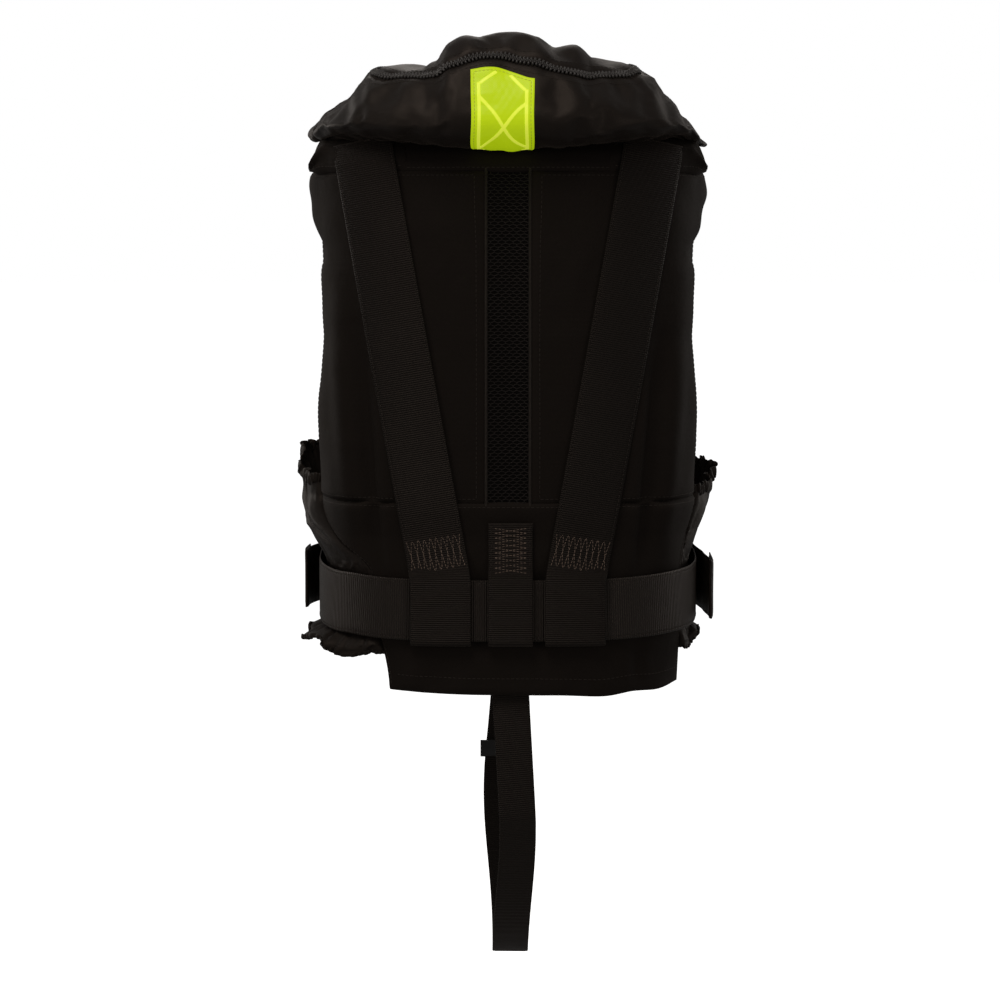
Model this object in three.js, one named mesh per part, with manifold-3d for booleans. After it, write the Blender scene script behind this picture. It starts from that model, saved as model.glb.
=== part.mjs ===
// Inflatable life jacket of the vest type: a padded back and two zipped front panels, a horseshoe
// cover holding the folded bladder round the neck and down both sides of the front, a 50 mm waist
// belt, two back straps and a 30 mm crotch strap, with buckles, inflator, oral tube and whistle.
//
// Units are millimetres. +Z is up, the wearer faces +Y, and +X is the wearer's right. The origin is
// the middle of the neck opening, level with the nape, where the wearer's neck holds the jacket.

import * as THREE from 'three';
import Module from 'manifold-3d';
import { mergeVertices } from 'three/addons/utils/BufferGeometryUtils.js';

// ---- driving dimensions ------------------------------------------------------------------------

const GAP = 0.4; // clearance between separate pieces that touch

const CHEST_POWER = 2.8; // roundness of the torso's cross-section, 2 being an ellipse
const FRONT_DEPTH = 105; // inside of the front panels, ahead of the neck's middle
const FRONT_TOP_DEPTH = 77; // and at the collarbones
const FRONT_SLOPE_Z = -150; // the front is upright below this height
// [height, half-width, back depth] of the vest's inside, from the hem to the shoulders
const TORSO = [
  [-490, 139, 107],
  [-450, 147, 104],
  [-362, 147, 104],
  [-340, 151, 107],
  [-288, 152, 110],
  [-200, 149, 110],
  [-110, 153, 104],
  [-60, 155, 99],
  [-52, 154, 95],
  [-42, 152, 82],
];

const PANEL = 4; // padded panel thickness
const HEM_Z = -486;
const LOWER_SEAM_Z = -333;
const YOKE_SEAM_Z = -67;
const YOKE_TOP_Z = -48; // the yoke runs up behind the collar
const FRONT_HEM_Z = -446;
const GUSSET_HEM_Z = -457;
const ARMHOLE_TOP_Z = -110;
const ARMHOLE_BOTTOM_Z = -288;
const MESH_HALF = 16.5; // half-width of the spacer mesh strip down the spine

const WEB = 1.6; // webbing thickness
const BELT_WIDTH = 50;
const BELT_OFF = 8.6; // the belt's inner face, measured from the vest's inside
const BELT_Z = -420; // middle of the belt at the back
const BELT_TILT = 0.1; // how much the belt climbs towards the front
const LOOP_OFF = 12; // inner face of the loops that hold the belt
const BUCKLE_Y = 131; // middle plane of the belt buckle
const BUCKLE_THICK = 13;
const BUCKLE_HEIGHT = 62;

const CROTCH_WIDTH = 30;
const CROTCH_LOW_Z = -722; // lowest point of the hanging crotch strap
const CROTCH_FRONT_Y = 119;
const CROTCH_SAG = 52.5; // the catenary's own length

const COVER_THICK = 2.2;
const LOBE_END_Z = -326; // the lobes end above the belt
const COVER_POWER = 2.5;
const ZIP_PHI = 138; // where the burst zip runs round the lobes' section, in degrees
const ZIP_PHI_NAPE = 106; // and round the collar's, where it comes down the outer face
const ZIP_SPAN = 8;
const SEAM_PHI = -24;
// How tall the collar stands at each x, as a share of its plain height above SLUMP_FLOOR: it slumps
// on the shoulders and is pinched left of the nape.
const SLUMP = [
  [-176, 0.5], [-160, 0.5], [-144, 0.58], [-128, 0.67], [-112, 0.86], [-88, 0.82], [-68, 0.76],
  [-58, 0.76], [-40, 0.9], [-22, 1], [24, 1], [36, 0.92], [56, 0.88], [72, 0.83], [112, 0.87],
  [128, 0.7], [144, 0.52], [160, 0.5], [176, 0.5],
];
const SLUMP_FLOOR = -46;
const SLUMP_FADE = [20, 78]; // the lobes ahead of the shoulders don't slump

// ---- materials ---------------------------------------------------------------------------------

const finish = (color, roughness, metalness = 0) =>
  new THREE.MeshStandardMaterial({ color, roughness, metalness });

const SHELL = finish(0x1d1916, 0.75);
const SOFTSHELL = finish(0x221d1a, 0.6);
const GUSSET = finish(0x181412, 0.4);
const MESH = finish(0x100e0c, 0.9);
const WEBBING = finish(0x1f1b18, 0.55);
const REFLECTIVE = finish(0xd2e02a, 0.35);
const ZIP = finish(0x15120f, 0.4);
const BLADDER = finish(0xf0d21e, 0.5);
const PLASTIC = finish(0x141414, 0.45);
const RED = finish(0xc8201c, 0.4);
const GREEN = finish(0x2f8f46, 0.4);
const ORANGE = finish(0xe8641a, 0.4);
const STEEL = finish(0xb8babd, 0.25, 1);
const ZINC = finish(0x9fa3a6, 0.4, 1);

// ---- solids from a surface ---------------------------------------------------------------------

const V = (x, y, z) => new THREE.Vector3(x, y, z);
const mix = THREE.MathUtils.lerp;
const rad = THREE.MathUtils.degToRad;
const smooth = (x, low, high) => THREE.MathUtils.smoothstep(x, low, high);
const power = (value, exponent) => Math.sign(value) * Math.abs(value) ** exponent;

// An indexed geometry, turned inside out where its faces point in.
function solid(points, faces) {
  let volume = 0;
  for (const [a, b, c] of faces) {
    volume += points[a].dot(points[b].clone().cross(points[c]));
  }
  const index = volume < 0 ? faces.map(([a, b, c]) => [a, c, b]) : faces;
  const geometry = new THREE.BufferGeometry();
  geometry.setFromPoints(points);
  geometry.setIndex(index.flat());
  return geometry;
}

// A thick sheet: at(u, v, side) gives its inner (0) and outer (1) faces for u and v from 0 to 1.
function sheet(at, across, along) {
  const points = [];
  for (const side of [0, 1]) {
    for (let j = 0; j <= along; j++) {
      for (let i = 0; i <= across; i++) {
        points.push(at(i / across, j / along, side));
      }
    }
  }
  const half = points.length / 2;
  const id = (i, j, side) => side * half + j * (across + 1) + i;
  const faces = [];
  const quad = (a, b, c, d) => faces.push([a, b, c], [a, c, d]);
  for (let j = 0; j < along; j++) {
    for (let i = 0; i < across; i++) {
      quad(id(i, j, 1), id(i + 1, j, 1), id(i + 1, j + 1, 1), id(i, j + 1, 1));
      quad(id(i, j, 0), id(i, j + 1, 0), id(i + 1, j + 1, 0), id(i + 1, j, 0));
    }
    quad(id(0, j, 0), id(0, j, 1), id(0, j + 1, 1), id(0, j + 1, 0));
    quad(id(across, j, 1), id(across, j, 0), id(across, j + 1, 0), id(across, j + 1, 1));
  }
  for (let i = 0; i < across; i++) {
    quad(id(i, 0, 1), id(i, 0, 0), id(i + 1, 0, 0), id(i + 1, 0, 1));
    quad(id(i, along, 0), id(i, along, 1), id(i + 1, along, 1), id(i + 1, along, 0));
  }
  return solid(points, faces);
}

// A closed tube: at(u, v) goes round for u from 0 to 1 and along for v from 0 to 1, with flat ends.
function tube(at, around, along) {
  const points = [];
  for (let j = 0; j <= along; j++) {
    for (let i = 0; i < around; i++) {
      points.push(at(i / around, j / along));
    }
  }
  const faces = [];
  for (let j = 0; j < along; j++) {
    for (let i = 0; i < around; i++) {
      const a = j * around + i;
      const b = j * around + ((i + 1) % around);
      faces.push([a, b, b + around], [a, b + around, a + around]);
    }
  }
  for (const [row, flip] of [[0, true], [along, false]]) {
    const ring = points.slice(row * around, (row + 1) * around);
    const middle = points.length;
    points.push(ring.reduce((sum, p) => sum.add(p), V(0, 0, 0)).divideScalar(around));
    for (let i = 0; i < around; i++) {
      const a = row * around + i;
      const b = row * around + ((i + 1) % around);
      faces.push(flip ? [b, a, middle] : [a, b, middle]);
    }
  }
  return solid(points, faces);
}

// A flat strap along a list of centre points, across being its width direction at each point.
function strap(points, across, width, thickness = WEB) {
  const last = points.length - 1;
  return sheet((u, v, side) => {
    const k = Math.round(v * last);
    const ahead = points[Math.min(k + 1, last)].clone().sub(points[Math.max(k - 1, 0)]);
    const wide = across(k).clone().normalize();
    const normal = ahead.cross(wide).normalize();
    return points[k].clone()
      .addScaledVector(wide, (u - 0.5) * width)
      .addScaledVector(normal, (side - 0.5) * thickness);
  }, 1, last);
}

// ---- joining and cutting -----------------------------------------------------------------------

const wasm = await Module();
wasm.setup();

function toManifold(geometry) {
  const bare = geometry.clone();
  bare.deleteAttribute('normal');
  bare.deleteAttribute('uv');
  const merged = mergeVertices(bare, 1e-4);
  return new wasm.Manifold(new wasm.Mesh({
    numProp: 3,
    vertProperties: new Float32Array(merged.attributes.position.array),
    triVerts: new Uint32Array(merged.index.array),
  }));
}

function fromManifold(body) {
  const mesh = body.getMesh();
  const geometry = new THREE.BufferGeometry();
  geometry.setAttribute('position', new THREE.BufferAttribute(new Float32Array(mesh.vertProperties), 3));
  geometry.setIndex(Array.from(mesh.triVerts));
  return geometry;
}

const join = (first, ...rest) =>
  fromManifold(rest.reduce((body, g) => body.add(toManifold(g)), toManifold(first)));
const cut = (first, ...rest) =>
  fromManifold(rest.reduce((body, g) => body.subtract(toManifold(g)), toManifold(first)));

// ---- simple shapes -----------------------------------------------------------------------------

const block = (x, y, z, sx, sy, sz) => new THREE.BoxGeometry(sx, sy, sz).translate(x, y, z);

// A round bar or disc with its axis along Z.
const rod = (radius, z0, z1, sides = 16, topRadius = radius) =>
  new THREE.CylinderGeometry(topRadius, radius, z1 - z0, sides)
    .rotateX(Math.PI / 2)
    .translate(0, 0, (z0 + z1) / 2);

// A rounded rectangle in the XZ plane, extruded along Y about its middle.
function plate(width, height, depth, radius, holes = []) {
  const outline = new THREE.Shape();
  const rounded = (path, w, h, r, x = 0, z = 0) => {
    path.moveTo(x - w / 2 + r, z - h / 2);
    path.lineTo(x + w / 2 - r, z - h / 2);
    path.absarc(x + w / 2 - r, z - h / 2 + r, r, -Math.PI / 2, 0);
    path.lineTo(x + w / 2, z + h / 2 - r);
    path.absarc(x + w / 2 - r, z + h / 2 - r, r, 0, Math.PI / 2);
    path.lineTo(x - w / 2 + r, z + h / 2);
    path.absarc(x - w / 2 + r, z + h / 2 - r, r, Math.PI / 2, Math.PI);
    path.lineTo(x - w / 2, z - h / 2 + r);
    path.absarc(x - w / 2 + r, z - h / 2 + r, r, Math.PI, Math.PI * 1.5);
  };
  rounded(outline, width, height, radius);
  for (const [w, h, r, x, z] of holes) {
    const hole = new THREE.Path();
    rounded(hole, w, h, r, x, z);
    outline.holes.push(hole);
  }
  return new THREE.ExtrudeGeometry(outline, { depth, bevelEnabled: false, curveSegments: 3 })
    .translate(0, 0, -depth / 2)
    .rotateX(Math.PI / 2);
}

// ---- the scene graph ---------------------------------------------------------------------------

const group = new THREE.Group();

function add(name, geometry, material, parent = group) {
  const mesh = new THREE.Mesh(geometry, material);
  mesh.name = name;
  parent.add(mesh);
}

const SIDES = [['left', -1], ['right', 1]];

// ---- the torso surface -------------------------------------------------------------------------

// Value number `column` of the TORSO list at a height, eased between the rows.
function torsoSize(z, column) {
  const next = Math.max(1, Math.min(TORSO.length - 1, TORSO.findIndex((row) => row[0] >= z)));
  const [low, high] = [TORSO[next - 1], TORSO[next]];
  return mix(low[column], high[column], THREE.MathUtils.clamp((z - low[0]) / (high[0] - low[0]), 0, 1));
}

// A point off the vest's inside. Angle 0 is the spine, 90 the wearer's right and 180 the front.
function torso(angle, z, off) {
  const cos = Math.cos(rad(angle));
  const front = mix(FRONT_DEPTH, FRONT_TOP_DEPTH, smooth(z, FRONT_SLOPE_Z, YOKE_SEAM_Z));
  const depth = cos > 0 ? torsoSize(z, 2) : front;
  return V(
    (torsoSize(z, 1) + off) * power(Math.sin(rad(angle)), 2 / CHEST_POWER),
    -(depth + off) * power(cos, 2 / CHEST_POWER),
    z,
  );
}

// The angle at which the surface has a given x, on the back.
const angleAt = (x, z, off) =>
  THREE.MathUtils.radToDeg(Math.asin(Math.min(power(x / (torsoSize(z, 1) + off), CHEST_POWER / 2), 1)));

const onBack = (x, z, off) => torso(angleAt(x, z, off), z, off);

// ---- vest panels -------------------------------------------------------------------------------

// The edges of the back and front panels, as angles from the spine.
function backEdge(z) {
  return mix(87, 100, smooth(z, ARMHOLE_TOP_Z - 22, ARMHOLE_TOP_Z + 18));
}

function frontEdge(z) {
  const above = smooth(z, ARMHOLE_TOP_Z - 45, ARMHOLE_TOP_Z + 18);
  const below = 1 - smooth(z, ARMHOLE_BOTTOM_Z, ARMHOLE_BOTTOM_Z + 42);
  return 129 - 27.5 * above - 11.5 * below;
}

for (const [name, sign] of SIDES) {
  add(`back_panel_${name}`, sheet((u, v, side) => {
    const z = mix(LOWER_SEAM_Z + GAP, YOKE_SEAM_Z - GAP, v);
    const inner = angleAt(MESH_HALF + GAP, z, side * PANEL);
    return torso(sign * mix(inner, backEdge(z), u), z, side * PANEL);
  }, 10, 14), SHELL);
}

add('mesh_strip', sheet((u, v, side) => {
  const z = mix(LOWER_SEAM_Z + GAP, YOKE_SEAM_Z - GAP, v);
  return onBack(mix(-MESH_HALF, MESH_HALF, u), z, side * PANEL);
}, 2, 12), MESH);

add('back_yoke', sheet((u, v, side) => {
  const z = mix(YOKE_SEAM_Z, YOKE_TOP_Z, v);
  return onBack(mix(-81, 81, u), z, side * PANEL);
}, 10, 4), SHELL);

// The hem panel is cut in at both sides, where the gussets take over, and more on the left.
function hemEdge(sign, z) {
  const [low, end] = sign < 0 ? [109, 94] : [139, 137];
  const cutIn = angleAt(mix(end, low, smooth(z, HEM_Z, -400)), z, 0);
  return mix(cutIn, backEdge(z), smooth(z, -392, LOWER_SEAM_Z));
}

add('lower_back_panel', sheet((u, v, side) => {
  const z = mix(HEM_Z, LOWER_SEAM_Z - GAP, v);
  return torso(mix(-hemEdge(-1, z), hemEdge(1, z), u), z, side * PANEL);
}, 18, 12), SHELL);

for (const [name, sign] of SIDES) {
  add(`front_panel_${name}`, sheet((u, v, side) => {
    const z = mix(FRONT_HEM_Z, YOKE_SEAM_Z - GAP, v);
    const neckline = smooth(z, -190, YOKE_SEAM_Z);
    const inner = 180 - angleAt(mix(12.5, 62, neckline), z, side * PANEL);
    return torso(sign * mix(inner, frontEdge(z), u), z, side * PANEL);
  }, 8, 16), SHELL);

  // Elastic side gussets, gathered so that they stand out above and below the belt.
  add(`side_gusset_${name}`, sheet((u, v, side) => {
    const z = mix(GUSSET_HEM_Z, ARMHOLE_BOTTOM_Z + 4, v);
    const above = smooth(z, -374, -350) * (1 - smooth(z, -300, -270) * 0.6);
    const below = (1 - smooth(z, -451, -445)) * (sign < 0 ? 1 : 0.4);
    const crown = Math.sin(Math.PI * u) ** 0.6;
    const bulge = crown * (16 * above + 13 * below);
    return torso(sign * mix(hemEdge(sign, z) + 1, 117, u), z, side * 3 + bulge);
  }, 10, 20), GUSSET);

  // Padded shoulder caps between the back panel, the front panel and the neck.
  add(`shoulder_${name}`, sheet((u, v, side) => {
    const off = side * PANEL;
    const arc = rad(mix(-90, 90, v));
    const x = mix(82, 152, u) + off * u;
    const depth = arc < 0 ? torsoSize(YOKE_SEAM_Z, 2) : FRONT_TOP_DEPTH;
    const widest = torsoSize(YOKE_SEAM_Z, 1) + off;
    const reach = (depth + off) * (1 - (x / widest) ** CHEST_POWER) ** (1 / CHEST_POWER);
    const top = mix(-38, -50, u) + off;
    return V(sign * x, reach * Math.sin(arc), mix(YOKE_SEAM_Z + GAP, top, Math.cos(arc)));
  }, 6, 12), SHELL);
}

// ---- the horseshoe cover -----------------------------------------------------------------------

// Stations from the nape over the right shoulder to the lobe's end:
// centre, outward direction, half-width and half-thickness.
const STATIONS = [
  [V(0, -101, -6), V(0, -0.86, 0.5), 52, 26],
  [V(50, -96, -5), V(0.05, -0.85, 0.52), 52, 27],
  [V(97, -64, -5), V(0.35, -0.6, 0.74), 53, 27],
  [V(117, -5, -5), V(0.36, 0, 0.93), 47, 23],
  [V(111, 74, -24), V(0.34, 0.6, 0.72), 45, 22],
  [V(91, 121, -112), V(0.3, 0.9, 0.3), 43, 22],
  [V(81, 129, -220), V(0.3, 0.95, 0), 42, 22],
  [V(80, 129, LOBE_END_Z), V(0.3, 0.95, 0), 42, 22],
];

const mirror = (v) => V(-v.x, v.y, v.z);
const FULL = [
  ...STATIONS.slice(1).reverse().map(([p, n, w, h]) => [mirror(p), mirror(n), w, h]),
  ...STATIONS,
];
const spline = (list) => new THREE.CatmullRomCurve3(list, false, 'catmullrom', 0.5);
const COVER_PATH = spline(FULL.map((row) => row[0]));
const COVER_NORMAL = spline(FULL.map((row) => row[1]));
const COVER_SIZE = spline(FULL.map((row) => V(row[2], row[3], 0)));

function slump(p) {
  if (p.z > SLUMP_FLOOR) {
    const k = Math.max(SLUMP.findIndex(([x]) => x > p.x), 1);
    const share = mix(SLUMP[k - 1][1], SLUMP[k][1], smooth(p.x, SLUMP[k - 1][0], SLUMP[k][0]));
    p.z = SLUMP_FLOOR + (p.z - SLUMP_FLOOR) * mix(share, 1, smooth(p.y, ...SLUMP_FADE));
  }
  return p;
}

// A point of the cover's section: s is -1 at the left lobe's end, 0 at the nape, 1 at the right
// lobe's end; phi is 0 at the outer edge, 90 on the outward face and 180 at the neck edge.
function cover(s, phi, off) {
  const t = THREE.MathUtils.clamp((s + 1) / 2, 0, 1);
  const tangent = COVER_PATH.getTangent(t);
  const normal = COVER_NORMAL.getPoint(t);
  normal.addScaledVector(tangent, -normal.dot(tangent)).normalize();
  const wide = tangent.clone().cross(normal);
  const size = COVER_SIZE.getPoint(t);
  const edge = (size.x + off) * power(Math.cos(rad(phi)), 2 / COVER_POWER);
  const face = (size.y + off) * power(Math.sin(rad(phi)), 2 / COVER_POWER);
  return slump(COVER_PATH.getPoint(t).addScaledVector(wide, edge).addScaledVector(normal, face));
}

const COLLAR_END = 0.4; // where the collar covers meet the lobe covers, over the shoulders
const SLIT = 0.004;
const COVER_PARTS = [
  ['collar_cover', '', -COLLAR_END + SLIT, COLLAR_END - SLIT, 22],
  ['lobe_cover', '_left', -1, -COLLAR_END, 16],
  ['lobe_cover', '_right', COLLAR_END, 1, 16],
];

// Where the zip runs at s, in degrees.
const zipPhi = (s) => mix(ZIP_PHI_NAPE, ZIP_PHI, smooth(Math.abs(s), 0.3, 0.55));

for (const [stem, ending, s0, s1, steps] of COVER_PARTS) {
  const half = (from, to, across) => sheet((u, v, side) => {
    const s = mix(s0, s1, v);
    return cover(s, mix(from(s), to(s), u), (side - 1) * COVER_THICK);
  }, across, steps);
  add(`${stem}_outer${ending}`, half(() => SEAM_PHI, zipPhi, 10), SOFTSHELL);
  add(
    `${stem}_inner${ending}`,
    half((s) => zipPhi(s) + ZIP_SPAN, () => SEAM_PHI + 359, 12),
    SOFTSHELL,
  );
}

// The burst zip's chain fills the line between the outer and inner covers.
add('burst_zip_chain', sheet((u, v, side) => {
  const s = mix(-0.95, 0.95, v);
  return cover(s, zipPhi(s) + mix(2.8, ZIP_SPAN - 2.8, u), side * 3 - 2.4);
}, 1, 44), ZIP);

// The bladder, folded flat into its horseshoe inside the covers.
const BLADDER_LEFT = -0.8;
const BLADDER_RIGHT = 0.72;
add('bladder', tube(
  (u, v) => cover(mix(BLADDER_LEFT, BLADDER_RIGHT, v), 360 * u, -6.5),
  12,
  60,
), BLADDER);

// Reflective patches sewn on the covers: at the nape and high on each lobe.
function patch(s0, s1, phi0, phi1) {
  return sheet(
    (u, v, side) => cover(mix(s0, s1, v), mix(phi0, phi1, u), 1.1 + side),
    8,
    2,
  );
}
add('reflective_patch_back', patch(-0.077, 0.055, -12, 102), REFLECTIVE);
add('reflective_patch_left', patch(-0.66, -0.58, 38, 128), REFLECTIVE);
add('reflective_patch_right', patch(0.58, 0.66, 38, 128), REFLECTIVE);

// The hang loop inside the neck.
const HANG_LOOP_Y = -52;
add('hang_loop', cut(
  plate(34, 30, 10, 5).translate(0, HANG_LOOP_Y, 12),
  plate(30, 26, 14, 4).translate(0, HANG_LOOP_Y, 12),
), WEBBING);

// ---- back straps -------------------------------------------------------------------------------

const STRAP_TOP_Z = -55;
const STRAP_TOP_X = 116;
const STRAP_BELT_X = 50;
const STRAP_LEVEL_Z = -396; // below this the straps run straight down
const LOOP_LOW_Z = -449;
const strapX = (z) => mix(
  STRAP_TOP_X,
  STRAP_BELT_X,
  (STRAP_TOP_Z - Math.max(z, STRAP_LEVEL_Z)) / (STRAP_TOP_Z - BELT_Z),
);

// A strap's run: down the panel, out over the belt, round its lower edge and up behind it.
function strapRun(topZ, steps) {
  const under = PANEL + 1.6 + WEB / 2;
  const over = LOOP_OFF + WEB / 2;
  const run = [];
  for (let k = 0; k <= steps; k++) {
    run.push([mix(topZ, -382, k / steps), under]);
  }
  run.push([-389, mix(under, over, 0.6)], [-394, over], [-420, over], [-444, over]);
  const radius = (over - under) / 2;
  for (let k = 0; k <= 4; k++) {
    const turn = rad(45 * k);
    run.push([
      LOOP_LOW_Z + radius * (1 - Math.sin(turn)),
      (over + under) / 2 + radius * Math.cos(turn),
    ]);
  }
  run.push([-420, under], [-397, under]);
  return run;
}

for (const [name, sign] of SIDES) {
  const points = strapRun(STRAP_TOP_Z, 10).map(([z, off]) => onBack(sign * strapX(z), z, off));
  const slope = -sign * (STRAP_TOP_X - STRAP_BELT_X) / (STRAP_TOP_Z - BELT_Z);
  const across = (k) => {
    const { x, z } = points[k];
    const tangent = onBack(x + 22, z, 5).sub(onBack(x - 22, z, 5)).normalize();
    return V(tangent.x, tangent.y, slope * smooth(z, STRAP_LEVEL_Z, STRAP_LEVEL_Z + 16));
  };
  add(`back_strap_${name}`, strap(points, across, BELT_WIDTH - 1), WEBBING);
}

// A short loop between them holds the belt up at the spine.
const CENTRE_X = 2; // the middle loop and the crotch strap lie a little to the wearer's right
add('back_belt_loop', strap(
  strapRun(-349, 2).map(([z, off]) => onBack(CENTRE_X, z, off)),
  () => V(1, 0, 0),
  36,
), WEBBING);

// ---- waist belt --------------------------------------------------------------------------------

// A point on the belt, `up` being measured across the webbing.
function belt(angle, up, off) {
  const flat = torso(angle, BELT_Z + 12, off);
  return V(flat.x, flat.y, BELT_Z + BELT_TILT * (flat.y + 115) + up);
}

const BELT_END = 148; // where the belt's own ends stop on the front panels

add('belt_webbing', sheet(
  (u, v, side) => belt(mix(-BELT_END, BELT_END, v), (u - 0.5) * BELT_WIDTH, BELT_OFF + side * 1.8),
  1,
  44,
), WEBBING);

// The doubled-back tails: each lies on the belt and stands off it where it ends at the side.
const TAIL_END = { left: 93, right: 82 };
for (const [name, sign] of SIDES) {
  add(`belt_tail_${name}`, sheet((u, v, side) => {
    const end = TAIL_END[name];
    const angle = mix(end, BELT_END, v);
    const flare = 10 * (1 - smooth(angle, end, end + 15)) * (0.75 + 0.25 * Math.sin(Math.PI * u));
    return belt(sign * angle, (u - 0.5) * (BELT_WIDTH - 1), LOOP_OFF + flare + side * WEB);
  }, 4, 12), WEBBING);

  // Elastic keepers round the belt and its tail.
  const band = (low, high, grow, from, to) => sheet((u, v, side) => belt(
    sign * mix(from, to, v),
    mix(-BELT_WIDTH / 2 - grow, BELT_WIDTH / 2 + grow, u),
    mix(low, high, side),
  ), 1, 2);
  add(`belt_keeper_${name}`, cut(band(5.2, 16, 3, 122, 130), band(6.6, 14.6, 1.6, 118, 134)), WEBBING);
}

const FRONT_BELT_Z = BELT_Z + BELT_TILT * (FRONT_DEPTH + 115);

// The short doubled webbing between each belt end and its buckle half, lapped over the belt.
const LAP_X = 94;
const LAP_Y = 122.5;
const LAP_THICK = 3.4;
for (const [name, sign, startX] of [['left', -1, 42.5], ['right', 1, 40]]) {
  const points = [V(sign * startX, BUCKLE_Y, FRONT_BELT_Z), V(sign * LAP_X, LAP_Y, FRONT_BELT_Z)];
  add(`belt_front_${name}`, strap(points, () => V(0, 0, 1), BELT_WIDTH - 2, LAP_THICK), WEBBING);
}

// ---- side-release buckles ----------------------------------------------------------------------

// The female half, built along +X with its mouth at x = 0 and its webbing bar at the far end.
function buckleFemale(length, height, thick) {
  const wall = thick * 0.19;
  const shell = plate(length, height, thick, 4).translate(-length / 2, 0, 0);
  const cave = block(-length * 0.31, 0, 0, length * 0.66, thick - 2 * wall, height - 12);
  const windows = block(-length * 0.31, 0, 0, length * 0.66, thick * 0.5, height + 2);
  const slot = block(-length + 5.6, 0, 0, 3.4, thick + 2, height - 12);
  const bar = block(-length + 8.6, 0, 0, 3, thick + 2, height - 12);
  return [shell, cave, windows, slot, bar];
}

const BUCKLE_SPLIT = 6; // the male half's shoulder stands this far from the middle
const FEMALE_LENGTH = 48;

// Upright on the belt: mouth towards +X.
const [shellFemale, caveFemale, windowsFemale, slotFemale] =
  buckleFemale(FEMALE_LENGTH, BUCKLE_HEIGHT, BUCKLE_THICK);
add('belt_buckle_female', cut(shellFemale, caveFemale, windowsFemale, slotFemale)
  .translate(BUCKLE_SPLIT, BUCKLE_Y, FRONT_BELT_Z), PLASTIC);

// The male half: a shoulder with the webbing bar and a middle guide rib.
const maleBase = plate(33, BUCKLE_HEIGHT, BUCKLE_THICK, 4, [[3.4, BUCKLE_HEIGHT - 12, 1.6, 11, 0]])
  .translate(BUCKLE_SPLIT + GAP + 16.5, BUCKLE_Y, FRONT_BELT_Z);
const maleRib = block(BUCKLE_SPLIT - 12, BUCKLE_Y, FRONT_BELT_Z, 26, 4, 7);
add('belt_buckle_male', join(maleBase, maleRib), PLASTIC);

// The two spring prongs, each a tapered arm with its thumb pad showing in the housing's window.
const PRONG_Z = 21;
for (const [name, sign] of [['lower', -1], ['upper', 1]]) {
  const arm = new THREE.Shape();
  arm.moveTo(-26, -2.2);
  arm.lineTo(0, -3.2);
  arm.lineTo(0, 3.2);
  arm.lineTo(-9, 4);
  arm.lineTo(-14, 8.6);
  arm.lineTo(-22, 8.6);
  arm.lineTo(-26, 4.5);
  arm.closePath();
  const prong = new THREE.ExtrudeGeometry(arm, { depth: 5, bevelEnabled: false })
    .translate(0, 0, -2.5)
    .rotateX(Math.PI / 2);
  if (sign < 0) {
    prong.rotateX(Math.PI);
  }
  prong.translate(BUCKLE_SPLIT - 0.1, BUCKLE_Y, FRONT_BELT_Z + sign * PRONG_Z);
  add(`belt_prong_${name}`, prong, PLASTIC);
}

// ---- crotch strap ------------------------------------------------------------------------------

const CROTCH_BUCKLE_Z = -482; // where the crotch buckle's halves meet
const CROTCH_MALE_END_Z = -504.4;
const CROTCH_BUCKLE_WIDTH = 40;
const CROTCH_BUCKLE_THICK = 10;

// The back strand is sewn inside the lower back panel and hangs out from under its hem.
const INSIDE = -2;
const backStrand = [-438, -462, HEM_Z].map((z) => onBack(0, z, INSIDE));
const backSlope = Math.sinh(-backStrand[2].y / CROTCH_SAG);
const hang = (y) => CROTCH_LOW_Z + CROTCH_SAG * (Math.cosh(y / CROTCH_SAG) - 1);
const LIMBS = 16;
for (let k = 0; k <= LIMBS; k++) {
  // Even steps of the catenary's slope keep the low bend smooth.
  const y = -CROTCH_SAG * Math.asinh(mix(backSlope, 0, (k / LIMBS) ** 0.7));
  backStrand.push(V(0, y, hang(y)));
}
const sway = (z, amount) => amount * Math.sin(Math.PI * smooth(z, CROTCH_LOW_Z, HEM_Z));
backStrand.forEach((p) => {
  p.x = CENTRE_X + sway(p.z, 6);
});
add('crotch_strap_back', strap(backStrand, () => V(1, 0, 0), CROTCH_WIDTH), WEBBING);

const frontStrand = [];
for (let k = 0; k <= LIMBS; k++) {
  const y = GAP + CROTCH_SAG * Math.asinh(mix(0, 4.2, (k / LIMBS) ** 1.4));
  frontStrand.push(V(0, y, hang(y)));
}
frontStrand.push(V(0, CROTCH_FRONT_Y, CROTCH_MALE_END_Z - 8), V(0, CROTCH_FRONT_Y, CROTCH_MALE_END_Z - GAP));
frontStrand.forEach((p) => {
  p.x = CENTRE_X - sway(p.z, 8);
});
add('crotch_strap_front', strap(frontStrand, () => V(1, 0, 0), CROTCH_WIDTH), WEBBING);

// The keeper slide on the front strand, a flat loop round the webbing.
const SLIDE_Z = -568;
const slideRise = Math.acosh(1 + (SLIDE_Z - CROTCH_LOW_Z) / CROTCH_SAG);
add('crotch_slide', cut(
  block(0, 0, 0, CROTCH_WIDTH + 9, 8, 14),
  block(0, 0, 0, CROTCH_WIDTH + 4, 5.4, 20),
).rotateX(-Math.atan(1 / Math.sinh(slideRise)))
  .translate(CENTRE_X - sway(SLIDE_Z, 8), GAP + CROTCH_SAG * slideRise, SLIDE_Z), PLASTIC);

add('crotch_tab_front', strap(
  [V(CENTRE_X, CROTCH_FRONT_Y, -376), V(CENTRE_X, CROTCH_FRONT_Y, CROTCH_BUCKLE_Z + 30 + GAP)],
  () => V(1, 0, 0),
  CROTCH_WIDTH,
), WEBBING);

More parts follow.
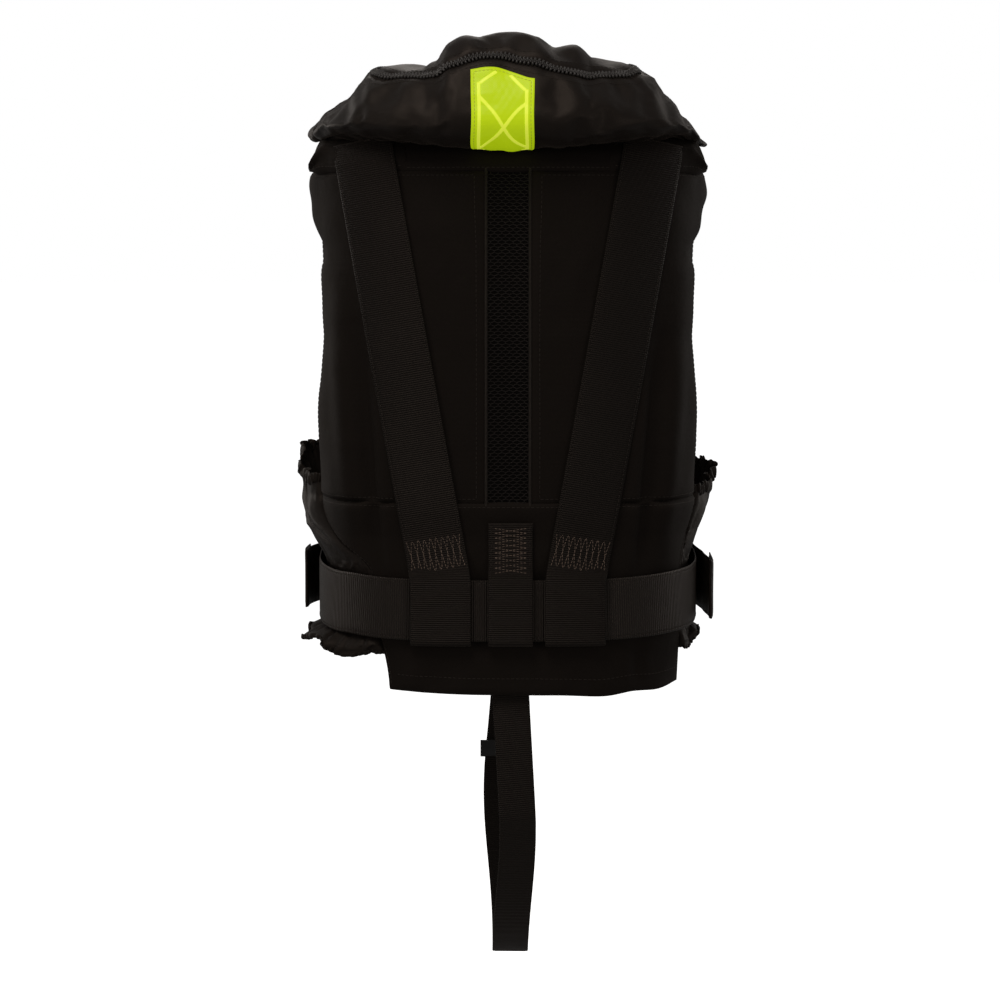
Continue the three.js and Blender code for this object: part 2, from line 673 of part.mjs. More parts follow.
// Mouth down under the tab, with the male half below it.
const crotchBuckle = new THREE.Group();
crotchBuckle.position.set(CENTRE_X, CROTCH_FRONT_Y, CROTCH_BUCKLE_Z);
crotchBuckle.rotation.y = Math.PI / 2;
group.add(crotchBuckle);
const crotchShell = buckleFemale(30, CROTCH_BUCKLE_WIDTH, CROTCH_BUCKLE_THICK);
add('crotch_buckle_female', cut(...crotchShell), PLASTIC, crotchBuckle);
const crotchMale = [plate(
  22, CROTCH_BUCKLE_WIDTH, CROTCH_BUCKLE_THICK, 3, [[3, CROTCH_BUCKLE_WIDTH - 9, 1.4, 6.5, 0]],
).translate(11 + GAP, 0, 0)];
crotchMale.push(block(-7, 0, 0, 16, 3, 5));
for (const sign of [-1, 1]) {
  crotchMale.push(block(-8, 0, sign * 11, 18, 3.6, 3.6), block(-13, 0, sign * 14, 6, 3.6, 6));
}
add('crotch_buckle_male', join(...crotchMale), PLASTIC, crotchBuckle);

// ---- front zip ---------------------------------------------------------------------------------

const ZIP_Y = FRONT_DEPTH + 2;
const ZIP_TOP_Z = -152;
const ZIP_END_Z = -440;
const ZIP_MIDDLE_Z = (ZIP_TOP_Z + ZIP_END_Z) / 2;
const ZIP_LENGTH = ZIP_TOP_Z - ZIP_END_Z;
const SLIDER_Z = -162;

for (const [name, sign] of SIDES) {
  const tape = block(sign * 6.8, ZIP_Y, ZIP_MIDDLE_Z, 10.2, 1.4, ZIP_LENGTH);
  const teeth = block(sign * 1.9, ZIP_Y, ZIP_MIDDLE_Z, 3.2, 4, ZIP_LENGTH);
  add(`front_zip_${name}`, join(tape, teeth), ZIP);
}
add('front_zip_box', plate(14, 9, 6, 2).translate(0, ZIP_Y, ZIP_END_Z - 5), ZINC);

// The slider rides over the chain's face, and its pull hangs from it.
const SLIDER_FACE = ZIP_Y + 5.5;
add('front_zip_slider', join(
  cut(
    plate(12, 16, 4.6, 3).translate(0, SLIDER_FACE - 2.3, SLIDER_Z),
    block(0, ZIP_Y, SLIDER_Z, 8, 5.2, 20),
  ),
  block(0, SLIDER_FACE + 0.8, SLIDER_Z + 1.8, 3, 2, 6.4),
), ZINC);
add('front_zip_pull', plate(9, 28, 1.6, 3, [[4, 5, 1.2, 0, 8]])
  .translate(0, SLIDER_FACE + 1.4, SLIDER_Z - 18), ZINC);

// ---- burst zip slider --------------------------------------------------------------------------

const BURST_S = -0.875;
const burst = new THREE.Group();
burst.position.copy(cover(BURST_S, ZIP_PHI + ZIP_SPAN / 2, 4.4));
burst.rotation.z = rad(-32);
group.add(burst);
add('burst_zip_slider', join(
  plate(9, 13, 4.4, 2.5),
  plate(5, 18, 1.6, 2).translate(0, 2.9, -12),
), ZINC, burst);

// ---- inflator, in the wearer's right lobe ------------------------------------------------------

// A lobe's own frame: local Y points out of the chest and local X towards the armhole side.
function lobeFrame(sign) {
  const [centre, outward] = STATIONS.at(-1);
  const frame = new THREE.Group();
  frame.position.set(sign * (centre.x + 0.4), centre.y, 0);
  frame.rotation.z = -sign * Math.atan2(outward.x, outward.y);
  group.add(frame);
  return frame;
}

const rightLobe = lobeFrame(1);
const CYLINDER_RADIUS = 12.5;
const CYLINDER_X = -12;
const INFLATOR_TOP_Z = -266;
const INFLATOR_BOTTOM_Z = -302;
const SOCKET_HEIGHT = 9;

const inflatorBlock = plate(38, INFLATOR_TOP_Z - INFLATOR_BOTTOM_Z, 26, 5)
  .translate(-4, 0, (INFLATOR_TOP_Z + INFLATOR_BOTTOM_Z) / 2);
const socket = rod(CYLINDER_RADIUS + 2.6, INFLATOR_TOP_Z - 1, INFLATOR_TOP_Z + SOCKET_HEIGHT, 20)
  .translate(CYLINDER_X, 0, 0);
const socketBore = rod(CYLINDER_RADIUS + GAP, INFLATOR_TOP_Z - 4, INFLATOR_TOP_Z + SOCKET_HEIGHT + 1, 20)
  .translate(CYLINDER_X, 0, 0);
// The lever's slot in the body's outer side.
const LEVER_X = 9;
const LEVER_Z = INFLATOR_TOP_Z - 12;
const leverSlot = block(LEVER_X + 3.5, 0, LEVER_Z - 2, 18, 6, 60);
add('inflator_body', cut(join(inflatorBlock, socket), socketBore, leverSlot), PLASTIC, rightLobe);
add('inflator_cap', rod(11, INFLATOR_BOTTOM_Z - 16, INFLATOR_BOTTOM_Z - GAP, 18, 12)
  .translate(-10, 0, 0), GREEN, rightLobe);

const CYLINDER_LENGTH = 104;
const cylinderBase = INFLATOR_TOP_Z - 4 + GAP;
const cylinderTop = cylinderBase + CYLINDER_LENGTH;
const profile = [[0, 0], [9, 0], [12.5, 4], [12.5, CYLINDER_LENGTH - 12], [10.5, CYLINDER_LENGTH - 5],
  [6, CYLINDER_LENGTH - 1], [0, CYLINDER_LENGTH]].map(([x, y]) => new THREE.Vector2(x, y));
add('co2_cylinder', new THREE.LatheGeometry(profile, 20)
  .rotateX(Math.PI / 2)
  .translate(CYLINDER_X, 0, cylinderBase), STEEL, rightLobe);

// The lever pivots in the slot and its tip carries the pull handle.
const LEVER_LENGTH = 20;
const leverArm = new THREE.Shape();
leverArm.absarc(0, 0, 4, Math.PI / 2, Math.PI * 1.5);
leverArm.lineTo(LEVER_LENGTH, -3);
leverArm.absarc(LEVER_LENGTH, 0, 3, -Math.PI / 2, Math.PI / 2);
leverArm.closePath();
add('inflator_lever', new THREE.ExtrudeGeometry(leverArm, { depth: 5, bevelEnabled: false, curveSegments: 5 })
  .translate(0, 0, -2.5)
  .rotateX(Math.PI / 2)
  .translate(LEVER_X, 0, LEVER_Z), RED, rightLobe);

const TIP_X = LEVER_X + LEVER_LENGTH;
const HANDLE_TOP_Z = LEVER_Z - 3 - GAP;
const HANDLE_END_Z = LOBE_END_Z - 26; // clear of the belt with the lever pulled down
add('pull_handle', join(
  plate(7, HANDLE_TOP_Z - LOBE_END_Z + 12, 2, 2).translate(TIP_X, 0, (HANDLE_TOP_Z + LOBE_END_Z - 12) / 2),
  plate(17, 28, 3.4, 4).translate(TIP_X, 0, HANDLE_END_Z + 14),
), RED, rightLobe);

// ---- oral tube and whistle, in the wearer's left lobe ------------------------------------------

const leftLobe = lobeFrame(-1);
const ORAL_X = 2;
const ORAL_TOP_Z = -196;
const ORAL_MOUTH_Z = -276;
const onTube = (geometry) => geometry.translate(ORAL_X, 0, 0);
add('oral_tube', onTube(cut(
  rod(7.5, ORAL_MOUTH_Z, ORAL_TOP_Z, 16),
  rod(4.8, ORAL_MOUTH_Z - 1, ORAL_MOUTH_Z + 26, 16),
)), PLASTIC, leftLobe);
add('oral_valve_pin', onTube(rod(4.2, ORAL_MOUTH_Z - 2, ORAL_MOUTH_Z + 16, 14)), ORANGE, leftLobe);
add('oral_tube_cap', onTube(cut(
  rod(10, ORAL_MOUTH_Z - 9, ORAL_MOUTH_Z + 10, 18),
  rod(8, ORAL_MOUTH_Z - 6, ORAL_MOUTH_Z + 11, 18),
)), ORANGE, leftLobe);

const WHISTLE_X = 24;
add('whistle', cut(
  plate(13, 44, 9, 3).translate(WHISTLE_X, 0, -278),
  plate(8, 12, 12, 2).translate(WHISTLE_X, 0, -266),
), ORANGE, leftLobe);

// ---- tether ring on the belt -------------------------------------------------------------------

const TETHER_X = -70;
const RING_DROP = 29; // the ring's bar, below the belt's middle
const lapSlope = Math.atan2(BUCKLE_Y - LAP_Y, LAP_X - 42.5);
const tetherY = mix(BUCKLE_Y, LAP_Y, (-TETHER_X - 42.5) / (LAP_X - 42.5));
const tether = new THREE.Group();
tether.position.set(TETHER_X, tetherY, FRONT_BELT_Z);
tether.rotation.z = lapSlope;
group.add(tether);
add('tether_loop', cut(
  block(0, 0, -2.5, 20, 8.8, 63),
  block(0, 0, -2.5, 24, 6.4, 60),
), WEBBING, tether);
add('tether_ring', plate(32, 26, 4, 6, [[24, 18, 3, 0, 0]]).translate(0, 0, -RING_DROP - 11), STEEL, tether);

export default group;
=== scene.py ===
"""Looks of the inflatable life jacket: padded vest, zipped horseshoe cover, webbing and fittings.

Shapes are worked out in millimetres in the frame's own axes and become metres in `piece`. The wearer
faces +Y, +X is the wearer's right, and the origin is the middle of the neck opening at the nape.
"""

import itertools
import math

import bpy
import numpy as np
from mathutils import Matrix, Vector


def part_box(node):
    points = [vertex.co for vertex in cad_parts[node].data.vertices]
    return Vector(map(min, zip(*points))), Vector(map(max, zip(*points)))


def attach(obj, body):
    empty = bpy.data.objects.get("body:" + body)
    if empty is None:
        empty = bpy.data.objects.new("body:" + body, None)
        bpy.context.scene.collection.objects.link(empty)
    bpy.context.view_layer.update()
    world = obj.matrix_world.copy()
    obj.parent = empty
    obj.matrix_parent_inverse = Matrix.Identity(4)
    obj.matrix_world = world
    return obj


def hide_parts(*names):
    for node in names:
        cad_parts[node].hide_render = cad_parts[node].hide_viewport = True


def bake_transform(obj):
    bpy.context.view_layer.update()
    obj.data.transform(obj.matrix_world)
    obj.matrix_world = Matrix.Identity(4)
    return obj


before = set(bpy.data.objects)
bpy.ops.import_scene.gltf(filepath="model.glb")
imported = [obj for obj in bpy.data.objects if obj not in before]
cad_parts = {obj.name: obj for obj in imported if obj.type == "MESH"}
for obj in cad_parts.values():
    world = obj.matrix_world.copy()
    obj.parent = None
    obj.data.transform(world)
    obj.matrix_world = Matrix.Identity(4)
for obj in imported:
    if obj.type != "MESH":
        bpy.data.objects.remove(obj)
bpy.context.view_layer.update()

MM = 0.001

# ---- driving dimensions, in millimetres ---------------------------------------------------------

CHEST_POWER = 2.8
FRONT_DEPTH = 105
FRONT_TOP_DEPTH = 77
FRONT_SLOPE_Z = -150
# [height, half-width, back depth] of the vest's inside
TORSO = np.array([
    [-490, 139, 107],
    [-450, 147, 104],
    [-362, 147, 104],
    [-340, 151, 107],
    [-288, 152, 110],
    [-200, 149, 110],
    [-110, 153, 104],
    [-60, 155, 99],
    [-52, 154, 95],
    [-42, 152, 82],
], float)

PANEL = 4
THINNEST = 1.2
LINING_OFF = 0.25
HEM_Z = -486
LOWER_SEAM_Z = -333
YOKE_SEAM_Z = -67
FRONT_HEM_Z = -446
GUSSET_HEM_Z = -457
GUSSET_FRONT_ANGLE = 117
ARMHOLE_TOP_Z = -110
ARMHOLE_BOTTOM_Z = -288
MESH_HALF = 16.5
YOKE_TOP_Z = -36
YOKE_HALF = 84
SEAM_GAP = 0.3  # between neighbouring panels and their seam

WEB = 1.6
BELT_WIDTH = 50
BELT_OFF = 8.6
BELT_THICK = 1.8
BELT_BACK_Y = -115
BELT_Z = -420
BELT_TILT = 0.1
BELT_END = 148
LOOP_OFF = 12
BUCKLE_Y = 131
KEEPER_ANGLE = 126
FRONT_START_X = 42.5
FRONT_END_X = 94
FRONT_END_Y = 122.5
FRONT_BELT_Z = BELT_Z + BELT_TILT * (FRONT_DEPTH - BELT_BACK_Y)

STRAP_TOP_Z = -55
STRAP_TOP_X = 116
STRAP_BELT_X = 50
STRAP_LEVEL_Z = -396  # below this the straps run straight down
LOOP_LOW_Z = -448
TACK_TOP_Z = -361
TACK_LOW_Z = -387
TACK_HALF = 21.5
LOOP_TACK_HALF = 13

CENTRE_X = 2
LOOP_TOP_Z = -349
LOOP_WIDTH = 36
CROTCH_WIDTH = 30
CROTCH_LOW_Z = -722
CROTCH_FRONT_Y = 119
CROTCH_SAG = 52.5

COVER_POWER = 2.5
ZIP_PHI = 138
ZIP_SPAN = 8
SEAM_PHI = -24
COLLAR_END = 0.4
COVER_RUN = 520  # from the nape to a lobe's end, along the cover

# ---- small mathematics --------------------------------------------------------------------------


def mix(a, b, t):
    return a + (b - a) * t


def smooth(x, low, high):
    t = np.clip((x - low) / (high - low), 0, 1)
    return t * t * (3 - 2 * t)


def power(value, exponent):
    return np.sign(value) * np.abs(value) ** exponent


def unit(v):
    return v / np.maximum(np.linalg.norm(v, axis=-1, keepdims=True), 1e-9)


def bump(x, middle, width):
    return np.exp(-(((x - middle) / width) ** 2))


def vec(*xyz):
    """Stacks numbers or arrays of x, y and z into points."""
    return np.stack(np.broadcast_arrays(*[np.asarray(c, float) for c in xyz]), -1)


def noise(points, size, seed=0):
    """Smooth noise from -1 to 1 at each point, about `size` from one crest to the next."""
    p = np.asarray(points, float) / size * 2
    cell = np.floor(p)
    part = p - cell
    part = part * part * (3 - 2 * part)
    cell = cell.astype(np.int64)
    total = np.zeros(p.shape[:-1])
    for corner in itertools.product((0, 1), repeat=3):
        x, y, z = (cell[..., k] + corner[k] for k in range(3))
        key = (x * 73856093) ^ (y * 19349663) ^ (z * 83492791) ^ (seed * 2654435761)
        key = (key ^ (key >> 13)) * 1274126177 & 0xFFFFFF
        value = key / 0x7FFFFF - 1
        weight = np.ones_like(total)
        for k in range(3):
            weight = weight * (part[..., k] if corner[k] else 1 - part[..., k])
        total += weight * value
    return total


def catmull(rows, t):
    """The uniform Catmull-Rom curve through rows, for t from 0 to 1."""
    rows = np.asarray(rows, float)
    knots = np.vstack([2 * rows[0] - rows[1], rows, 2 * rows[-1] - rows[-2]])
    along = np.clip(np.asarray(t, float), 0, 1) * (len(rows) - 1)
    k = np.minimum(along.astype(int), len(rows) - 2)
    w = (along - k)[..., None]
    p0, p1, p2, p3 = (knots[k + i] for i in range(4))
    return 0.5 * (
        2 * p1 + (p2 - p0) * w + (2 * p0 - 5 * p1 + 4 * p2 - p3) * w**2
        + (3 * p1 - p0 - 3 * p2 + p3) * w**3
    )


def lengths(points):
    """How far along a polyline each of its points is."""
    return np.concatenate([[0], np.cumsum(np.linalg.norm(np.diff(points, axis=0), axis=1))])


def read_off(at, run, rows):
    """The rows, three numbers each, at other places along their run."""
    return np.stack([np.interp(at, run, rows[:, k]) for k in range(3)], -1)


def resample(points, step):
    """The polyline, smoothed and cut into even steps."""
    points = np.asarray(points, float)
    fine = catmull(points, np.linspace(0, 1, len(points) * 12))
    run = lengths(fine)
    return read_off(np.linspace(0, run[-1], max(3, round(run[-1] / step) + 1)), run, fine)


def squares(columns, rows):
    """A grid's u and v, each from 0 to 1."""
    return np.meshgrid(np.linspace(0, 1, columns), np.linspace(0, 1, rows))


def crown(u, v, width, height, roll):
    """A padded panel's roundness: 0 on its four edges, 1 from `roll` inside them."""
    edge = np.minimum(np.minimum(u, 1 - u) * width, np.minimum(v, 1 - v) * height)
    return np.sqrt(1 - (1 - np.clip(edge / roll, 0, 1)) ** 2)


# ---- meshes -------------------------------------------------------------------------------------


def piece(name, points, faces, material, body="vest", uv=None, stands_for=()):
    """A smooth mesh object, riding on its body if it has one; uv is a pair for each point, in metres."""
    mesh = bpy.data.meshes.new(name)
    mesh.from_pydata((np.asarray(points) * MM).tolist(), [], [list(map(int, f)) for f in faces])
    mesh.polygons.foreach_set("use_smooth", np.ones(len(mesh.polygons), bool))
    if uv is not None:
        layer = mesh.uv_layers.new(name="UVMap")
        corner = np.zeros(len(mesh.loops), np.int32)
        mesh.loops.foreach_get("vertex_index", corner)
        layer.data.foreach_set("uv", np.asarray(uv, np.float32)[corner].ravel())
    mesh.materials.append(material)
    obj = bpy.data.objects.new(name, mesh)
    bpy.context.scene.collection.objects.link(obj)
    if body:
        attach(obj, body)
    if stands_for:
        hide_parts(*stands_for)
    return obj


def grid_faces(rows, columns, wrap=False):
    j, i = np.meshgrid(np.arange(rows - 1), np.arange(columns - (not wrap)), indexing="ij")
    a = (j * columns + i).ravel()
    b = (j * columns + (i + 1) % columns).ravel()
    return np.stack([a, b, b + columns, a + columns], -1)


def grid_uv(grid):
    """Arc lengths in metres across and along a grid, one pair for each point."""
    across = np.linalg.norm(np.diff(grid, axis=1), axis=2)
    along = np.linalg.norm(np.diff(grid, axis=0), axis=2)
    u = np.zeros(grid.shape[:2])
    v = np.zeros(grid.shape[:2])
    u[:, 1:] = np.cumsum(across, axis=1)
    v[1:] = np.cumsum(along, axis=0)
    u -= u.mean(axis=1, keepdims=True)
    return np.stack([u, v.mean(axis=1, keepdims=True) + 0 * u], -1).reshape(-1, 2) * MM


def grid_normals(grid, inner):
    """Unit normals of a grid, turned away from the inner one."""
    normal = unit(np.cross(np.gradient(grid, axis=1), np.gradient(grid, axis=0)))
    turn = np.sign(np.sum(normal * (grid - inner), axis=-1).mean())
    return normal * (turn or 1)


def skin_mesh(outer, inner):
    """A closed skin between two grids: its points, its faces and the grids' points round the rim."""
    rows, columns = outer.shape[:2]
    ids = np.arange(rows * columns).reshape(rows, columns)
    ring = np.concatenate([ids[0, :-1], ids[:-1, -1], ids[-1, :0:-1], ids[:0:-1, 0]])
    inside = np.clip(np.stack(np.unravel_index(ring, (rows, columns)), -1), 1, [rows - 2, columns - 2])
    flat_out, flat_in = outer.reshape(-1, 3), inner.reshape(-1, 3)
    middle = (flat_out[ring] + flat_in[ring]) / 2
    away = unit(middle - (outer[tuple(inside.T)] + inner[tuple(inside.T)]) / 2)
    thick = np.linalg.norm(flat_out[ring] - flat_in[ring], axis=1, keepdims=True)
    rim = middle + away * thick * 0.45
    points = np.vstack([flat_out, flat_in, rim])
    base = rows * columns
    out_faces = grid_faces(rows, columns)
    quads = [out_faces, out_faces[:, ::-1] + base]
    k = np.arange(len(ring))
    n = (k + 1) % len(ring)
    quads.append(np.stack([ring[n], ring[k], 2 * base + k, 2 * base + n], -1))
    quads.append(np.stack([2 * base + n, 2 * base + k, ring[k] + base, ring[n] + base], -1))
    faces = np.vstack(quads)
    # faces must look outwards: compare one outer face with the way from inner to outer
    f = out_faces[len(out_faces) // 2]
    looks = np.cross(flat_out[f[1]] - flat_out[f[0]], flat_out[f[2]] - flat_out[f[0]])
    if looks @ (flat_out[f[0]] - flat_in[f[0]]) < 0:
        faces = faces[:, ::-1]
    return points, faces, ring


class Skin:
    """A finished cloth surface, on which stitches and patches are laid by (u, v) from 0 to 1."""

    def __init__(self, grid, inner):
        self.grid = grid
        self.normals = grid_normals(grid, inner)

    def at(self, u, v, lift=0.0):
        rows, columns = self.grid.shape[:2]
        x = np.clip(np.asarray(u, float), 0, 1) * (columns - 1)
        y = np.clip(np.asarray(v, float), 0, 1) * (rows - 1)
        x, y = np.broadcast_arrays(x, y)
        i = np.minimum(x.astype(int), columns - 2)
        j = np.minimum(y.astype(int), rows - 2)
        a, b = (x - i)[..., None], (y - j)[..., None]

        def blended(field):
            low = mix(field[j, i], field[j, i + 1], a)
            high = mix(field[j + 1, i], field[j + 1, i + 1], a)
            return mix(low, high, b)

        normal = unit(blended(self.normals))
        return blended(self.grid) + normal * np.asarray(lift, float)[..., None], normal


def skin(name, outer, inner, material, stands_for):
    points, faces, ring = skin_mesh(outer, inner)
    uv = grid_uv(outer)
    piece(name, points, faces, material, uv=np.vstack([uv, uv, uv[ring]]), stands_for=stands_for)
    return Skin(outer, inner)


def tube_mesh(rings, centres, across, run, closed=False):
    """Points, faces and uv of a tube through rings; an open one's ends are fans round its centres."""
    n, k = rings.shape[:2]
    last = (n - 1) * k
    points = rings.reshape(-1, 3)
    faces = grid_faces(n, k, wrap=True).tolist()
    uv = np.stack([np.tile(across, n), np.repeat(run, k)], -1)
    i = np.arange(k)
    turn = (i + 1) % k
    if closed:
        faces += np.stack([last + i, last + turn, turn, i], -1).tolist()
    else:
        points = np.vstack([points, centres[:1], centres[-1:]])
        uv = np.vstack([uv, [[0, run[0]], [0, run[-1]]]])
        fans = np.stack([turn, i, 0 * i + n * k, last + i, last + turn, 0 * i + n * k + 1], -1)
        faces += fans.reshape(-1, 3).tolist()
    a, b, c = (points[corner] for corner in faces[k * (n // 2)][:3])
    if np.cross(b - a, c - a) @ (a - centres[n // 2]) < 0:
        faces = [f[::-1] for f in faces]
    return points, faces, uv * MM


def sweep_mesh(centres, wide, normal, section, scale=1.0, closed=False):
    """A closed outline, in width and height, carried along centres."""
    offset = section[None, :, 0, None] * wide[:, None] + section[None, :, 1, None] * normal[:, None]
    rings = centres[:, None] + offset * np.broadcast_to(scale, len(centres))[:, None, None]
    return tube_mesh(rings, centres, section[:, 0], lengths(centres), closed)


def frames_along(centres, hint, closed=False):
    """Unit tangent, width and normal at each centre; hint is roughly the width direction."""
    if closed:
        ahead = np.roll(centres, -1, axis=0) - np.roll(centres, 1, axis=0)
    else:
        ahead = np.gradient(centres, axis=0)
    tangent = unit(ahead)
    hint = np.broadcast_to(np.asarray(hint, float), centres.shape)
    wide = unit(hint - tangent * np.sum(hint * tangent, axis=1, keepdims=True))
    return tangent, wide, np.cross(tangent, wide)


def webbing_section(width, thick):
    """Half-thickness falls away at the selvedges, just outside the groove of the edge stitching."""
    u = np.concatenate([np.linspace(-1, -0.84, 7), np.linspace(-0.7, 0.7, 5), np.linspace(0.84, 1, 7)])
    groove = 0.24 * bump(np.abs(u), 0.9, 0.025)
    half = thick / 2 * (np.sqrt(np.clip(1 - np.abs(u) ** 16, 0.02, 1)) - groove)
    top = np.stack([u * width / 2, half], -1)
    return np.vstack([top, (top * [1, -1])[::-1]])


def oval_section(width, thick, sides=12):
    turn = np.arange(sides) / sides * 2 * np.pi
    return np.stack([np.cos(turn) * width / 2, np.sin(turn) * thick / 2], -1)


def ribbon(name, centres, hint, width, thick, material, body="vest", stands_for=(),
           closed=False):
    """A webbing strap along a finely cut path."""
    _, wide, normal = frames_along(centres, hint, closed)
    points, faces, uv = sweep_mesh(centres, wide, normal, webbing_section(width, thick), closed=closed)
    return piece(name, points, faces, material, body, uv, stands_for)


def repeat(base, faces, origins, axes, sizes=None):
    """Copies of a small mesh, one for each origin with its own axes (rows of x, y and z)."""
    n = len(origins)
    base = np.asarray(base, float)
    local = np.broadcast_to(base, (n, *base.shape))
    if sizes is not None:
        local = local * np.asarray(sizes, float)[:, None, :]
    points = np.einsum("nkc,ncd->nkd", local, axes) + origins[:, None]
    step = len(base)
    every = [tuple(i + k * step for i in f) for k in range(n) for f in faces]
    return points.reshape(-1, 3), every


def spindle(rings, sides, exponent=1.0):
    """A lathe-like unit shape along x from its [x, radius] rings, closed at both ends."""
    turn = np.arange(sides) / sides * 2 * np.pi
    round_y, round_z = power(np.cos(turn), exponent), power(np.sin(turn), exponent)
    points = [[x, y * r, z * r] for x, r in rings for y, z in zip(round_y, round_z)]
    faces = grid_faces(len(rings), sides, wrap=True).tolist()
    faces.append(list(reversed(range(sides))))
    faces.append([(len(rings) - 1) * sides + k for k in range(sides)])
    return points, faces


STITCH = spindle([(-0.5, 0.3), (-0.36, 0.9), (0, 1), (0.36, 0.9), (0.5, 0.3)], 6)


def stitch_frames(points, normals, length, gap):
    """Origins, axes and lengths of the stitches along a line."""
    run = lengths(points)
    count = max(1, int(run[-1] / (length + gap)))
    start = (np.arange(count) + 0.5) * run[-1] / count - length / 2
    a, b = read_off(start, run, points), read_off(start + length, run, points)
    up = unit(read_off(start + length / 2, run, normals))
    ahead = unit(b - a)
    side = unit(np.cross(up, ahead))
    return (a + b) / 2, np.stack([ahead, side, np.cross(ahead, side)], 1), np.linalg.norm(b - a, axis=1)


def stitches(name, lines, material, body="vest", length=2.8, gap=1.1, radius=0.32):
    """Lock stitches along every line of (points, normals), as one piece."""
    origins, axes, sizes = [], [], []
    for points, normals in lines:
        o, a, size = stitch_frames(points, normals, length, gap)
        origins.append(o)
        axes.append(a)
        sizes.append(np.stack([size, 0 * size + radius, 0 * size + radius * 0.8], -1))
    points, faces = repeat(*STITCH, np.vstack(origins), np.vstack(axes), np.vstack(sizes))
    return piece(name, points, faces, material, body)


# ---- materials ----------------------------------------------------------------------------------


class Nodes:
    """Short names for building a node tree."""

    def __init__(self, name):
        self.material = bpy.data.materials.new(name)
        self.material.use_nodes = True
        self.tree = self.material.node_tree
        self.shader = self.tree.nodes["Principled BSDF"]
        self.coords = self.tree.nodes.new("ShaderNodeTexCoord")

    def put(self, socket, value):
        """Links another node's output to a socket, or sets a plain value on it."""
        if hasattr(value, "is_linked"):
            self.tree.links.new(value, socket)
        else:
            socket.default_value = value

    def new(self, kind, inputs=(), **settings):
        node = self.tree.nodes.new("ShaderNode" + kind)
        for key, value in settings.items():
            setattr(node, key, value)
        for key, value in dict(inputs).items():
            self.put(node.inputs[key], value)
        return node

    def noise(self, scale, detail):
        inputs = {"Vector": self.coords.outputs["Object"], "Scale": scale, "Detail": detail}
        return self.new("TexNoise", inputs).outputs["Fac"]

    def wave(self, pitch, direction, vector=None):
        """Bands a pitch apart, in metres, over the uv unless another vector is given."""
        inputs = {"Vector": vector or self.coords.outputs["UV"], "Scale": 0.314159 / pitch}
        return self.new("TexWave", inputs, bands_direction=direction).outputs["Fac"]

    def math(self, operation, a, b=0.5):
        return self.new("Math", {0: a, 1: b}, operation=operation).outputs[0]

    def ramp(self, value, low, high, to_low=0.0, to_high=1.0):
        inputs = {"Value": value, "From Min": low, "From Max": high, "To Min": to_low, "To Max": to_high}
        return self.new("MapRange", inputs, clamp=True).outputs["Result"]

    def colours(self, share, low, high):
        """From low to high by share; either is a colour or another node's output."""
        ends = {6: low, 7: high}
        inputs = {key: end if hasattr(end, "is_linked") else (*end, 1) for key, end in ends.items()}
        return self.new("Mix", {0: share, **inputs}, data_type="RGBA").outputs[2]

    def worn(self, low, high, most):
        """How worn each place is: its raised edges are."""
        return self.ramp(self.new("NewGeometry").outputs["Pointiness"], low, high, 0.0, most)

    def relief(self, height, strength, distance, under=None):
        inputs = {"Height": height, "Strength": strength, "Distance": distance}
        if under is not None:
            inputs["Normal"] = under
        return self.new("Bump", inputs).outputs["Normal"]

    def finish(self, colour, rough, normal=None, **fixed):
        self.put(self.shader.inputs["Base Color"], colour)
        self.put(self.shader.inputs["Roughness"], rough)
        if normal is not None:
            self.put(self.shader.inputs["Normal"], normal)
        for key, value in fixed.items():
            self.shader.inputs[key.replace("_", " ")].default_value = value
        return self.material


WARM_TINT = (1.0, 0.82, 0.70, 1.0)  # the dyed cloth's sheen is brownish
PRISM_PITCH = 0.0015
# the colour of the painted glow that the prismatic tape gives off
PAINTED_GLOW_YELLOW = (0.57, 0.80, 0.006)
WELD_YELLOW = (0.80, 0.92, 0.04)


def shade(rgb, factor):
    return tuple(min(1.0, c * factor) for c in rgb)


def cloth(name, rgb, rough, pitch, grain, sheen=0.15, specular=0.3, wrinkle=0.25):
    """A woven fabric: yarns both ways, faint creases, uneven dye and pale wear on raised places."""
    n = Nodes(name)
    yarns = n.math("MULTIPLY", n.wave(pitch, "X"), n.wave(pitch * 1.1, "Y"))
    blotch = n.noise(14.0, 4.0)
    lint = n.ramp(n.noise(900.0, 2.0), 0.62, 0.8)
    colour = n.colours(blotch, shade(rgb, 0.78), shade(rgb, 1.3))
    colour = n.colours(n.math("MULTIPLY", lint, 0.25), colour, shade(rgb, 3.2))
    colour = n.colours(n.math("MULTIPLY", n.worn(0.51, 0.57, 0.5), 0.5), colour, shade(rgb, 2.2))
    creased = n.relief(n.noise(120.0, 5.0), wrinkle, 0.0012)
    woven = n.relief(yarns, grain, pitch * 0.5, creased)
    roughness = n.ramp(blotch, 0.3, 0.7, rough - 0.06, rough + 0.06)
    return n.finish(colour, roughness, woven, Sheen_Weight=sheen, Sheen_Roughness=0.4,
                    Sheen_Tint=WARM_TINT, Specular_IOR_Level=specular, Specular_Tint=WARM_TINT)


